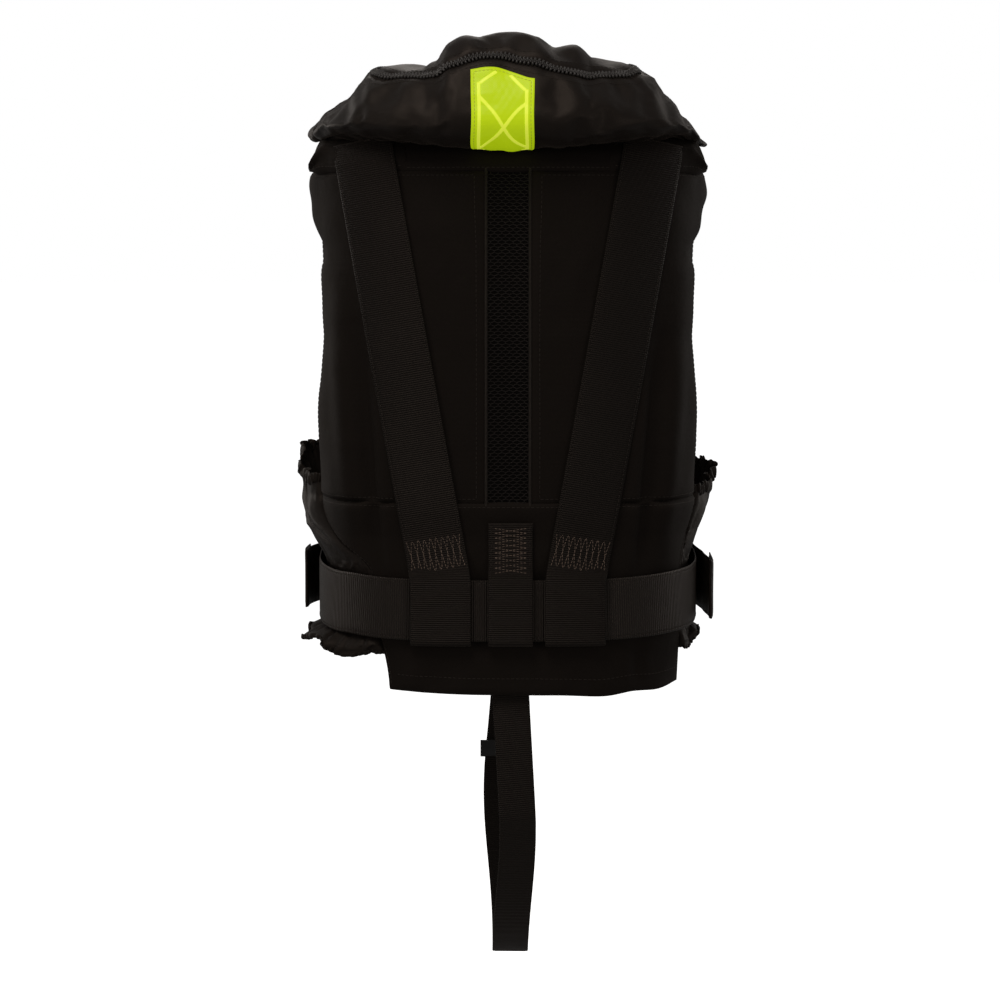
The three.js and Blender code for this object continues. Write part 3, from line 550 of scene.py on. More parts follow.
def webbing(name, rgb, rough, rib, specular=0.35, sheen=0.1):
    """Flat woven strap: ribs across its length, finer yarns between them, and wear at the edges."""
    n = Nodes(name)
    ribs = n.wave(rib, "Y")
    yarns = n.wave(rib * 0.55, "X")
    blotch = n.noise(22.0, 4.0)
    # painted shade in the grooves between the ribs and painted light on their crests, following the same
    # bands as the relief
    colour = n.colours(ribs, shade(rgb, 0.62), shade(rgb, 1.25))
    colour = n.colours(n.ramp(blotch, 0.55, 0.75, 0.0, 0.3), colour, shade(rgb, 1.8))
    colour = n.colours(n.worn(0.52, 0.6, 0.5), colour, shade(rgb, 2.4))
    fine = n.relief(yarns, 0.25, rib * 0.3)
    normal = n.relief(ribs, 0.75, rib * 0.45, fine)
    roughness = n.ramp(ribs, 0.0, 1.0, rough + 0.15, rough - 0.05)
    return n.finish(colour, roughness, normal, Sheen_Weight=sheen, Sheen_Roughness=0.35,
                    Sheen_Tint=WARM_TINT, Specular_IOR_Level=specular, Specular_Tint=WARM_TINT)


def moulded(name, rgb, rough, grain=0.12, specular=0.5, metal=0.0):
    """Injection-moulded plastic or cast metal: fine spark-eroded grain, handling marks, worn edges."""
    n = Nodes(name)
    blotch = n.noise(60.0, 4.0)
    scuff = n.ramp(n.noise(420.0, 6.0), 0.58, 0.74, 0.0, 0.5)
    colour = n.colours(blotch, shade(rgb, 0.88), shade(rgb, 1.12))
    colour = n.colours(n.math("MULTIPLY", n.worn(0.53, 0.62, 0.6), 0.4), colour, shade(rgb, 1.9))
    roughness = n.math("ADD", n.ramp(blotch, 0.3, 0.7, rough - 0.05, rough + 0.06),
                       n.math("MULTIPLY", scuff, 0.18))
    normal = n.relief(n.noise(2600.0, 2.0), grain, 0.0002)
    return n.finish(colour, roughness, normal, Metallic=metal, Specular_IOR_Level=specular)


def painted_glow(material, rgb, strength):
    """Painted glow: the surface gives off a fixed light of its own, as a lamp would, however it is lit.
    """
    shader = material.node_tree.nodes["Principled BSDF"]
    shader.inputs["Emission Color"].default_value = (*rgb, 1)
    shader.inputs["Emission Strength"].default_value = strength
    return material


def prismatic(name):
    """Microprism retroreflective tape: fluorescent yellow with a fine diamond lattice under gloss, and a
    painted glow.
    """
    n = Nodes(name)
    turned = n.new("Mapping", {"Vector": n.coords.outputs["UV"], "Rotation": (0, 0, math.pi / 4)})
    cells = [n.wave(PRISM_PITCH, direction, turned.outputs["Vector"]) for direction in "XY"]
    lattice = n.math("MULTIPLY", *cells)
    blotch = n.noise(30.0, 2.0)
    colour = n.colours(n.ramp(lattice, 0.0, 0.8), (0.47, 0.60, 0.006), (0.58, 0.72, 0.008))
    colour = n.colours(n.ramp(blotch, 0.45, 0.8, 0.0, 0.3), colour, (0.70, 0.82, 0.02))
    normal = n.relief(lattice, 0.25, 0.0002)
    material = n.finish(colour, n.ramp(lattice, 0.0, 1.0, 0.42, 0.26), normal,
                        Specular_IOR_Level=0.2, Coat_Weight=0.06, Coat_Roughness=0.2)
    # painted glow: the tape gives off yellow light of its own, so it stays bright however it is lit
    return painted_glow(material, PAINTED_GLOW_YELLOW, 0.42)


WARM_BLACK = (0.0085, 0.0065, 0.0054)
SHELL = cloth("shell_ripstop", WARM_BLACK, 0.76, 0.0009, 0.35, sheen=0.02, specular=0.14)
SOFT = cloth("softshell_satin", (0.0110, 0.0086, 0.0073), 0.46, 0.0005, 0.2, sheen=0.05, specular=0.22,
             wrinkle=0.15)
GUSSET = cloth("gusset_nylon", (0.0075, 0.0056, 0.0046), 0.54, 0.0004, 0.15, sheen=0.02, specular=0.2,
               wrinkle=0.35)
MESH = cloth("mesh_yarn", (0.0068, 0.0066, 0.0068), 0.6, 0.0008, 0.3)
BACKING = cloth("mesh_backing", (0.0032, 0.0028, 0.0026), 0.8, 0.0006, 0.3, sheen=0.0, specular=0.1)
STRAP = webbing("strap_webbing", (0.0078, 0.0062, 0.0054), 0.5, 0.0017, specular=0.24, sheen=0.05)
BELT = webbing("belt_webbing_satin", (0.0100, 0.0080, 0.0068), 0.36, 0.0019, specular=0.38, sheen=0.03)
ELASTIC = webbing("elastic_band", (0.0085, 0.0072, 0.0066), 0.55, 0.0012)
TAPE = webbing("zip_tape", (0.0085, 0.0070, 0.0062), 0.6, 0.0012)
BINDING = webbing("edge_binding", (0.0095, 0.0078, 0.0068), 0.5, 0.0010)
THREAD = webbing("black_thread", (0.0125, 0.0100, 0.0088), 0.5, 0.0006)
TACK_THREAD = webbing("tack_thread", (0.16, 0.115, 0.09), 0.55, 0.0006)
YELLOW_THREAD = webbing("yellow_thread", (0.50, 0.60, 0.05), 0.5, 0.0006)
PRISM = prismatic("prismatic_tape")
# painted glow: the welded lines give off yellow light of their own
WELD = painted_glow(moulded("welded_film", WELD_YELLOW, 0.36, specular=0.3), (0.80, 0.92, 0.08), 0.5)
YELLOW = cloth("bladder_coated", (0.80, 0.62, 0.02), 0.42, 0.0006, 0.15, specular=0.45)
TEETH = moulded("zip_acetal", (0.036, 0.031, 0.028), 0.34)
BLACK = moulded("black_acetal", (0.013, 0.012, 0.0115), 0.42)
RED = moulded("red_plastic", (0.52, 0.018, 0.012), 0.36)
GREEN = moulded("green_plastic", (0.03, 0.26, 0.06), 0.38)
ORANGE = moulded("orange_plastic", (0.75, 0.13, 0.01), 0.38)
STEEL = moulded("bright_steel", (0.62, 0.63, 0.64), 0.2, grain=0.05, metal=1.0)
ZINC = moulded("cast_zinc", (0.16, 0.155, 0.15), 0.38, grain=0.2, metal=1.0)

# ---- stage --------------------------------------------------------------------------------------

CAMERA_DISTANCE = 2.6
CAMERA_RISE = math.radians(5)
VIEW_WIDTH = 0.81
AIM = (-0.0065, -0.09, -0.332)
FLOOR_Z = -0.95
FLOOR_GLOW = 0.94
SKY = 0.17
# [place, size, watts]: two beyond the jacket to rim its sides, one high and two low on the camera's
# side, and one high beyond it
SOFTBOXES = [
    ((-2.0, 1.3, 0.3), 1.6, 9),
    ((2.0, 1.3, 0.3), 1.6, 7),
    ((-0.5, -1.2, 1.9), 1.3, 17),
    ((-1.9, -1.7, -0.2), 1.0, 5),
    ((1.9, -1.7, -0.2), 1.0, 4),
    ((0.0, 2.2, 1.6), 1.5, 9),
]
LAMP_COLOUR = (1.0, 0.94, 0.88)


def stage():
    scene = bpy.context.scene
    scene.view_settings.view_transform = "Standard"
    camera = bpy.data.objects.new("camera", bpy.data.cameras.new("camera"))
    camera.data.lens = camera.data.sensor_width * CAMERA_DISTANCE / VIEW_WIDTH
    back = CAMERA_DISTANCE * math.cos(CAMERA_RISE)
    camera.location = (AIM[0], AIM[1] - back, AIM[2] + CAMERA_DISTANCE * math.sin(CAMERA_RISE))
    camera.rotation_euler = (math.pi / 2 - CAMERA_RISE, 0, 0)
    scene.collection.objects.link(camera)
    scene.camera = camera

    side = 40
    mesh = bpy.data.meshes.new("floor")
    corners = [(-side, -side), (side, -side), (side, side), (-side, side)]
    mesh.from_pydata([(x, y, FLOOR_Z) for x, y in corners], [], [(0, 1, 2, 3)])
    floor = bpy.data.objects.new("floor", mesh)
    n = Nodes("pale_floor")
    colour = n.colours(n.noise(0.8, 2.0), (0.90, 0.90, 0.89), (0.93, 0.93, 0.92))
    mesh.materials.append(n.finish(colour, 0.9, Specular_IOR_Level=0.1, Emission_Strength=FLOOR_GLOW))
    n.shader.inputs["Emission Color"].default_value = (1, 1, 1, 1)
    # pale to the camera, without lighting the jacket from below
    floor.visible_diffuse = False
    floor.visible_glossy = False
    scene.collection.objects.link(floor)

    world = bpy.data.worlds.new("studio")
    scene.world = world
    world.use_nodes = True
    tree = world.node_tree
    tree.nodes.clear()
    seen, lit = (tree.nodes.new("ShaderNodeBackground") for _ in range(2))
    seen.inputs["Strength"].default_value = 1.0
    lit.inputs["Strength"].default_value = SKY
    path = tree.nodes.new("ShaderNodeLightPath")
    either = tree.nodes.new("ShaderNodeMixShader")
    out = tree.nodes.new("ShaderNodeOutputWorld")
    for background in (seen, lit):
        background.inputs["Color"].default_value = (1, 1, 1, 1)
    tree.links.new(path.outputs["Is Camera Ray"], either.inputs[0])
    tree.links.new(lit.outputs[0], either.inputs[1])
    tree.links.new(seen.outputs[0], either.inputs[2])
    tree.links.new(either.outputs[0], out.inputs[0])

    for place, size, watts in SOFTBOXES:
        light = bpy.data.lights.new("softbox", "AREA")
        light.shape = "DISK"
        light.size = size
        light.energy = watts
        light.color = LAMP_COLOUR
        lamp = bpy.data.objects.new("softbox", light)
        lamp.location = place
        x, y, z = np.array(AIM) - np.array(place)
        lamp.rotation_euler = (math.atan2(math.hypot(x, y), -z), 0, math.atan2(y, x) - math.pi / 2)
        scene.collection.objects.link(lamp)


stage()

# ---- the vest's surface -------------------------------------------------------------------------

SIDES = (("left", -1), ("right", 1))


def torso_size(z, column):
    return np.interp(z, TORSO[:, 0], TORSO[:, column])


def torso(angle, z, off=0.0):
    """A point off the vest's inside. Angle 0 is the spine, 90 the wearer's right, 180 the front."""
    angle, z, off = np.broadcast_arrays(*[np.asarray(a, float) for a in (angle, z, off)])
    cos = np.cos(np.radians(angle))
    sin = np.sin(np.radians(angle))
    front = mix(FRONT_DEPTH, FRONT_TOP_DEPTH, smooth(z, FRONT_SLOPE_Z, YOKE_SEAM_Z))
    depth = np.where(cos > 0, torso_size(z, 2), front)
    return vec(
        (torso_size(z, 1) + off) * power(sin, 2 / CHEST_POWER),
        -(depth + off) * power(cos, 2 / CHEST_POWER),
        z,
    )


def angle_at(x, z, off=0.0):
    part = np.clip(power(np.asarray(x, float) / (torso_size(z, 1) + off), CHEST_POWER / 2), -1, 1)
    return np.degrees(np.arcsin(part))


def on_back(x, z, off=0.0):
    return torso(angle_at(x, z, off), z, off)


def back_edge(z):
    return mix(87, 100.6, smooth(z, ARMHOLE_TOP_Z - 22, ARMHOLE_TOP_Z + 18))


def front_edge(z):
    above = smooth(z, ARMHOLE_TOP_Z - 45, ARMHOLE_TOP_Z + 18)
    below = 1 - smooth(z, ARMHOLE_BOTTOM_Z, ARMHOLE_BOTTOM_Z + 42)
    return 129 - 28.2 * above - 11.5 * below


def hem_edge(sign, z):
    low, end = (109, 94) if sign < 0 else (139, 137)
    cut_in = angle_at(mix(end, low, smooth(z, HEM_Z, -400)), z)
    return mix(cut_in, back_edge(z), smooth(z, -392, LOWER_SEAM_Z))


def strap_x(z):
    slanted = np.maximum(z, STRAP_LEVEL_Z)
    return mix(STRAP_TOP_X, STRAP_BELT_X, (STRAP_TOP_Z - slanted) / (STRAP_TOP_Z - BELT_Z))


def ridge(x, z, ax, az, bx, bz, width, height):
    """A fold running from a to b on the vest, fading out at both ends."""
    along = ((x - ax) * (bx - ax) + (z - az) * (bz - az)) / ((bx - ax) ** 2 + (bz - az) ** 2)
    t = np.clip(along, 0, 1)
    away = np.hypot(x - mix(ax, bx, t), z - mix(az, bz, t))
    return height * np.exp(-((away / width) ** 2)) * np.sin(np.pi * np.clip(along * 0.8 + 0.1, 0, 1))


# Folds of the back's cloth: [from x, z, to x, z, width, height]
BACK_FOLDS = [
    (-134, -150, -120, -384, 11, 6.5),
    (-118, -190, -102, -396, 6, -6),
    (-104, -230, -92, -392, 7, 4),
    (-146, -250, -132, -392, 8, 2.2),
    (137, -150, 121, -386, 11, 6.5),
    (120, -200, 104, -396, 6, -6),
    (106, -240, 94, -392, 7, 4),
    (158, -338, 136, -392, 6, -2.6),
    (-70, -84, -40, -150, 10, 1.2),
    (-34, -96, -24, -240, 7, 0.8),
    (64, -90, 46, -200, 9, 1.0),
    (21, -440, 22, -484, 5, -2.8),
    (102, -440, 104, -484, 6, -2.6),
    (60, -452, 74, -484, 9, 1.8),
    (-62, -450, -78, -484, 9, 2.0),
    (-98, -440, -90, -484, 6, -1.8),
]


def back_relief(x, z, seed):
    """How far the back's cloth stands off its plain shape."""
    straps = 0.85 * bump(np.abs(x), strap_x(z), 27) * (z > LOOP_LOW_Z - 4)
    loop = 0.9 * bump(x, CENTRE_X, 19) * (z < LOOP_TOP_Z + 4)
    flat = vec(x, 0 * x, z)
    soft = 1.3 * noise(flat * [1, 1, 0.45], 62, seed) + 0.5 * noise(flat * [1, 1, 0.7], 26, seed + 1)
    folds = sum(ridge(x, z, *fold) for fold in BACK_FOLDS)
    belt = 1 - 0.8 * bump(z, BELT_Z, 30)
    return (soft + folds) * np.clip(1 - straps - loop, 0, 1) * belt


def pad(name, at, columns, rows, stands_for, roll=5, relief=None, swell=None, thick=PANEL, sink=0.8,
        material=SHELL):
    """A padded panel, rolled down to the seam all round; its swell carries on across the seams."""
    u, v = squares(columns, rows)
    flat = at(u, v, 0 * u)
    width = np.linalg.norm(np.diff(flat, axis=1), axis=2).sum(axis=1)[:, None]
    height = np.linalg.norm(np.diff(flat, axis=0), axis=2).sum(axis=0)[None, :]
    rounded = crown(u, v, width, height, roll)
    off = thick * mix(sink, 1, rounded)
    if relief is not None:
        off = off + relief(flat, u, v) * rounded
    if swell is not None:
        off = off + swell(flat, u, v)
    outer = at(u, v, np.maximum(off, THINNEST))
    inner = at(u, v, LINING_OFF + 0 * u)
    return skin(name, outer, inner, material, [stands_for])


def sewn(surface, inset, width, height, edges=("left", "right", "low", "high")):
    """Stitch lines a little inside a skin's four edges."""
    du, dv = inset / width, inset / height
    t = np.linspace(0, 1, 160)
    runs = {
        "left": (0 * t + du, mix(dv, 1 - dv, t)),
        "right": (0 * t + 1 - du, mix(dv, 1 - dv, t)),
        "low": (mix(du, 1 - du, t), 0 * t + dv),
        "high": (mix(du, 1 - du, t), 0 * t + 1 - dv),
    }
    return [surface.at(*runs[edge], 0.1) for edge in edges]


vest_seams = []


def back_panels():
    for name, sign in SIDES:
        def at(u, v, off, sign=sign):
            z = mix(LOWER_SEAM_Z + SEAM_GAP, YOKE_SEAM_Z - SEAM_GAP, v)
            return torso(sign * mix(angle_at(MESH_HALF + 1.5, z), back_edge(z), u), z, off)

        def relief(p, u, v):
            return back_relief(p[..., 0], p[..., 2], 3)

        def swell(p, u, v, sign=sign):
            z = p[..., 2]
            bunch = 8.5 * bump(z, -84, 27) + 3 * bump(z, -262, 34) - 5 * bump(z, -131, 11)
            creases = 1.2 * np.sin(z / 5.5 + 3 * u + sign) * bump(z, -97, 24)
            return smooth(u, 0.72, 0.98) * (bunch + creases)

        surface = pad(f"back_panel_{name}_padded", at, 56, 120, f"back_panel_{name}", relief=relief,
                      swell=swell)
        vest_seams.extend(sewn(surface, 3.0, 150, 265))

    def yoke(u, v, off):
        z = mix(YOKE_SEAM_Z + SEAM_GAP, YOKE_TOP_Z, v)
        return on_back(mix(-YOKE_HALF, YOKE_HALF, u), z, off)

    surface = pad("back_yoke_padded", yoke, 60, 16, "back_yoke", roll=4)
    vest_seams.extend(sewn(surface, 2.6, 2 * YOKE_HALF, 30, ["low"]))

    def lower(u, v, off):
        z = mix(HEM_Z, LOWER_SEAM_Z - SEAM_GAP, v)
        dip = 2.5 * np.sin(np.pi * u) - 1.5 * noise(vec(u * 300, 0 * u, 0 * u), 80, 5)
        z = z - dip * (1 - smooth(v, 0, 0.3))
        return torso(mix(-hem_edge(-1, z), hem_edge(1, z), u), z, off)

    def lower_relief(p, u, v):
        return back_relief(p[..., 0], p[..., 2], 9)

    surface = pad("lower_back_panel_padded", lower, 110, 56, "lower_back_panel", relief=lower_relief)
    vest_seams.extend(sewn(surface, 3.0, 330, 150, ["left", "right", "high"]))
    vest_seams.extend(sewn(surface, 12.0, 330, 150, ["low"]))


def spine_mesh():
    """Warp-knit spacer mesh: a net of yarns over a dark back, between two corded seams."""
    low, high = LOWER_SEAM_Z - 0.5, YOKE_SEAM_Z + 0.5

    def ground(u, v, off):
        z = mix(low, high, v)
        hollow = 1.2 * np.sin(np.pi * u)
        return on_back(mix(-MESH_HALF - 0.6, MESH_HALF + 0.6, u), z, off - hollow)

    pad("spine_mesh_backing", ground, 12, 60, "mesh_strip", roll=2, thick=2.2, sink=0.9,
        material=BACKING)
    pitch = 3.0
    count = int(2 * MESH_HALF / pitch) + 1
    rise = np.arange(low + 1, high - 1, 0.5)
    points, faces = [], []
    yarn = oval_section(0.62, 0.5, 5)
    for k in range(count):
        phase = (k % 2) * math.pi
        middle = -MESH_HALF + 0.9 + k * pitch
        # neighbouring yarns touch at every other half-turn, which leaves the diamond holes
        weave = np.clip(np.sin(rise / 2.5 * math.pi + phase) * 1.5, -1, 1)
        x = np.clip(middle + pitch * 0.5 * weave, -MESH_HALF, MESH_HALF)
        centres = on_back(x, rise, 2.9 - 1.2 * np.cos(x / MESH_HALF * math.pi / 2))
        _, wide, normal = frames_along(centres, (1, 0, 0))
        p, f, _ = sweep_mesh(centres, wide, normal, yarn)
        faces += [[i + k * len(p) for i in face] for face in f]
        points.append(p)
    piece("spine_mesh_net", np.vstack(points), faces, MESH)
    for name, sign in SIDES:
        z = np.linspace(low - 4, high + 2, 120)
        centres = on_back(sign * (MESH_HALF + 1.2), z, 3.0 + 0 * z)
        _, wide, normal = frames_along(centres, (1, 0, 0))
        p, f, uv = sweep_mesh(centres, wide, normal, oval_section(2.6, 2.4, 10))
        piece(f"spine_piping_{name}", p, f, BINDING, uv=uv)


def shoulders_and_front():
    for name, sign in SIDES:
        def shoulder(u, v, off, sign=sign):
            arc = np.radians(mix(-90, 90, v))
            x = mix(YOKE_HALF - 2, 155, u) + off * u
            depth = np.where(arc < 0, torso_size(YOKE_SEAM_Z, 2), FRONT_TOP_DEPTH)
            widest = torso_size(YOKE_SEAM_Z, 1) + mix(3, 12, np.cos(arc)) + off
            reach = (depth + off) * np.clip(1 - (x / widest) ** CHEST_POWER, 0, 1) ** (1 / CHEST_POWER)
            # the outer edge turns down onto the panels, so the shoulder closes over the armhole
            top = mix(-38, -40, u) + 0.6 * off - 26 * smooth(u, 0.86, 1) ** 1.5
            z = mix(YOKE_SEAM_Z + SEAM_GAP, top, np.cos(arc) ** 0.6)
            return vec(sign * x, reach * np.sin(arc), z)

        def bunched(p, u, v):
            folds = np.sin(v * 34 + 2.5 * np.sin(u * 5) + sign)
            return 1.8 * smooth(u, 0.78, 1) * folds + 0.6 * noise(p, 34, 12)

        def swell(p, u, v):
            return 5 * smooth(u, 0.82, 1) * bump(v, 0.1, 0.3)

        surface = pad(f"shoulder_{name}_padded", shoulder, 44, 84, f"shoulder_{name}", relief=bunched,
                      swell=swell)
        vest_seams.extend(sewn(surface, 3.0, 70, 260, ["low", "high", "right"]))

        def front(u, v, off, sign=sign):
            z = mix(FRONT_HEM_Z, YOKE_SEAM_Z - SEAM_GAP, v)
            x = mix(12.5, 62, smooth(z, -190, YOKE_SEAM_Z))
            return torso(sign * mix(180 - angle_at(x, z), front_edge(z), u), z, off)

        def front_relief(p, u, v, sign=sign):
            belt = 1 - 0.8 * bump(p[..., 2], FRONT_BELT_Z, 30)
            return belt * (1.0 * noise(p * [1, 1, 0.5], 55, 21 + sign) + 0.4 * noise(p, 24, 22))

        surface = pad(f"front_panel_{name}_padded", front, 44, 100, f"front_panel_{name}",
                      relief=front_relief)
        vest_seams.extend(sewn(surface, 3.0, 110, 380))


SETTLE_FRAMES = 20
CLOTH_SETTINGS = {
    "quality": 6, "mass": 0.15, "tension_stiffness": 12, "compression_stiffness": 12,
    "shear_stiffness": 4, "bending_stiffness": 0.25, "vertex_group_mass": "held",
}


def relax(grid, pinned, slack, caps, pressure=0.0, wrap=False):
    """Lets cloth settle: it starts slack, is held where pinned, and no point moves past its cap."""
    rows, columns = grid.shape[:2]
    mesh = bpy.data.meshes.new("settling")
    start = grid.reshape(-1, 3) * MM
    mesh.from_pydata(start.tolist(), [], grid_faces(rows, columns, wrap).tolist())
    obj = bpy.data.objects.new("settling", mesh)
    scene = bpy.context.scene
    scene.collection.objects.link(obj)
    held = obj.vertex_groups.new(name="held")
    weight = pinned.ravel()
    for level in np.unique(weight[weight > 0]):
        held.add(np.flatnonzero(weight == level).tolist(), float(level), "REPLACE")
    modifier = obj.modifiers.new("settle", "CLOTH")
    modifier.point_cache.frame_start = 1
    modifier.point_cache.frame_end = SETTLE_FRAMES
    settings = modifier.settings
    for key, value in CLOTH_SETTINGS.items():
        setattr(settings, key, value)
    settings.shrink_min = -slack
    settings.shrink_max = -slack
    settings.effector_weights.gravity = 0
    if pressure:
        settings.use_pressure = True
        settings.uniform_pressure_force = pressure
    for frame_number in range(1, SETTLE_FRAMES + 1):
        scene.frame_set(frame_number)
    settled = obj.evaluated_get(bpy.context.evaluated_depsgraph_get())
    now = np.zeros(len(mesh.vertices) * 3)
    settled.data.vertices.foreach_get("co", now)
    scene.frame_set(1)
    bpy.data.objects.remove(obj)
    bpy.data.meshes.remove(mesh)
    move = (now.reshape(-1, 3) - start) / MM
    length = np.linalg.norm(move, axis=1)
    cap = np.broadcast_to(caps, (rows, columns)).ravel()
    move *= (np.minimum(length, cap) / np.maximum(length, 1e-6))[:, None]
    return grid + move.reshape(grid.shape)


def gussets():
    """Thin nylon side gussets: puffed out above the belt, a gathered frill below it."""
    for name, sign, near_top, far_top, puff, frill in (
        ("left", -1, -321, -298, 23, 19), ("right", 1, -330, -312, 21, 8),
    ):
        u, v = squares(72, 110)
        lip = mix(near_top, far_top, smooth(u, 0.2, 0.65)) + 1.3 * np.sin(u * 60) * smooth(v, 0.9, 1)
        hem = mix(GUSSET_HEM_Z, GUSSET_HEM_Z + 7, smooth(u, 0.05, 0.4)) + 1.1 * np.sin(u * 19 + 1)
        z = mix(hem, lip, v)
        above = smooth(z, -398, -334)
        below = 1 - smooth(z, -452, -437)
        edge = np.sin(np.pi * u) ** 0.45
        # long folds draw together at the belt; short pleats gather at both elastic hems
        long_fold = np.abs(np.sin(u * 11 + 2.2 * v + 0.9 * np.sin(v * 4) + sign)) ** 0.8 - 0.5
        crowd = u * 40 + 3.0 * np.sin(u * 9 + sign) + 1.6 * np.sin(v * 7)
        pleat = (np.abs(np.sin(crowd)) ** 0.8 - 0.5) * (0.55 + 0.45 * np.sin(u * 23 + 2))
        near_lip = smooth(v, 0.8, 1.0)
        off = 2.2 + edge * (
            above * (puff + 6.5 * long_fold + 1.6 * noise(vec(u * 40, 40 * v, 0 * u), 9, 60 + sign))
            + below * (frill + 4.5 * pleat)
            + (near_lip * 3.4 + 0.8 * (above + below)) * pleat
        )

        def at(off, z=z, u=u, sign=sign):
            return torso(sign * mix(hem_edge(sign, z) + 0.2, GUSSET_FRONT_ANGLE, u), z, off)

        free = np.clip(above + below, 0, 1)
        pinned = np.where((u == 0) | (u == 1), 1.0, np.where(free < 0.06, 0.8, 0.0))
        outer = relax(at(off), pinned, 0.10, 0.6 + 3.5 * free * edge)
        normal = grid_normals(outer, at(off - 4))
        skin(f"side_gusset_{name}_gathered", outer, outer - normal * 0.9, GUSSET,
             [f"side_gusset_{name}"])
        for end_name, row, size in (("top", -1, 4.4), ("hem", 0, 1.7)):
            line = resample(outer[row], 0.7)
            _, wide, up = frames_along(line, (0, 0, 1))
            t = np.linspace(0, 1, len(line))
            beat = t * len(line) * 0.13 + 1.1 * np.sin(t * 11) + 0.6 * np.sin(t * 29 + sign)
            swell = 0.86 + 0.2 * np.abs(np.sin(beat * np.pi)) ** 0.6
            swell *= 0.6 + 0.4 * np.sin(np.pi * t) ** 0.5
            line = line + up * (0.8 * np.sin(beat * 2 * np.pi))[:, None]
            p, f, uv = sweep_mesh(line, wide, up, oval_section(size * 2.3, size * 0.62, 16), swell)
            piece(f"gusset_{end_name}_elastic_{name}", p, f, GUSSET, uv=uv)


# ---- the horseshoe cover ------------------------------------------------------------------------

# From the nape over the right shoulder: centre, outward direction, half-width and half-thickness.
STATIONS = [
    [0, -101, -6, 0, -0.86, 0.5, 52, 26],
    [50, -96, -5, 0.05, -0.85, 0.52, 52, 27],
    [97, -64, -5, 0.35, -0.6, 0.74, 53, 27],
    [117, -5, -5, 0.36, 0, 0.93, 47, 23],
    [111, 74, -24, 0.34, 0.6, 0.72, 45, 22],
    [91, 121, -112, 0.3, 0.9, 0.3, 43, 22],
    [81, 129, -220, 0.3, 0.95, 0, 42, 22],
    [80, 129, -326, 0.3, 0.95, 0, 42, 22],
]
MIRROR = np.array([-1, 1, 1, -1, 1, 1, 1, 1])
PATH = np.vstack([np.array(STATIONS[:0:-1]) * MIRROR, STATIONS])


def cover_plain(s, phi, off=0.0):
    """A point of the cover's section: s runs from -1 to 1, phi is 0 at the outer edge, 90 outward."""
    s, phi, off = np.broadcast_arrays(*[np.asarray(a, float) for a in (s, phi, off)])
    t = (s + 1) / 2
    row = catmull(PATH, t)
    step = 1e-4
    tangent = unit(catmull(PATH[:, :3], t + step) - catmull(PATH[:, :3], t - step))
    normal = row[..., 3:6]
    normal = unit(normal - tangent * np.sum(normal * tangent, axis=-1, keepdims=True))
    wide = np.cross(tangent, normal)
    edge = (row[..., 6] + off) * power(np.cos(np.radians(phi)), 2 / COVER_POWER)
    face = (row[..., 7] + off) * power(np.sin(np.radians(phi)), 2 / COVER_POWER)
    return row[..., :3] + wide * edge[..., None] + normal * face[..., None]


COVER_ROWS = 231
PHI_STEP = 6
PHIS = np.arange(SEAM_PHI, SEAM_PHI + 360, PHI_STEP)


def eased(x, knots):
    """Eases from each [x, value] knot to the next."""
    xs, ys = np.array(knots, float).T
    k = np.clip(np.searchsorted(xs, x) - 1, 0, len(xs) - 2)
    return mix(ys[k], ys[k + 1], smooth((x - xs[k]) / (xs[k + 1] - xs[k]), 0, 1))


# The collar's top outline from behind, [x, z]: it slumps on the shoulders and is pinched at the nape.
OUTLINE = [
    (-170, -36), (-158, -23), (-148, -12), (-130, -2), (-120, 12), (-110, 22), (-87, 23), (-68, 20),
    (-58, 24), (-47, 36), (-28, 38), (-6, 42), (21, 42), (38, 32), (53, 33), (68, 27), (99, 25),
    (114, 19), (131, 0), (144, -18), (161, -38), (172, -42),
]
# Where the burst zip runs across the collar, [x, z], below that outline.
ZIP_LINE = [
    (-130, -8), (-117, 12), (-87, 14), (-58, 11), (-39, 19), (-27, 26), (-6, 27), (22, 19), (56, 11),
    (84, 15), (118, 13), (131, -6),
]
# The collar's lower seam, at the cover's stations from the nape to the right shoulder.
TUCK = np.array([(0, -103, -51), (62, -100.5, -48), (129, -77, -38.5), (160, -8, -35)], float)
SLUMP_FLOOR = -46
ZIP_DROP = 8
COVER_INSET = -1.4  # of the settled cloth's middle from the cover's outside
BROW = 0.087  # how much a point further from a viewer a little above looks higher


def looks_high(points):
    return points[..., 2] + BROW * (points[..., 1] + 90)


def plain_outline():
    """The unslumped collar's outline: the highest point seen in each strip of x."""
    s, phi = np.meshgrid(np.linspace(-0.55, 0.55, 331), np.arange(0, 360, 5))
    points = cover_plain(s, phi, COVER_INSET).reshape(-1, 3)
    strips = np.arange(-176, 177, 8)
    high = looks_high(points)
    return strips, np.array([high[np.abs(points[:, 0] - x) < 7].max(initial=-20) for x in strips])


STRIPS, PLAIN_HIGH = plain_outline()


def slumped(points):
    """The collar let down to its outline from behind."""
    x, y, z = (points[..., k] for k in range(3))
    natural = np.interp(x, STRIPS, PLAIN_HIGH)
    share = (eased(x, OUTLINE) - SLUMP_FLOOR) / (natural - SLUMP_FLOOR)
    share = mix(share, 1, smooth(y, 62, 112))
    low = np.where(z > SLUMP_FLOOR, SLUMP_FLOOR + (z - SLUMP_FLOOR) * share, z)
    return vec(x, y, low)


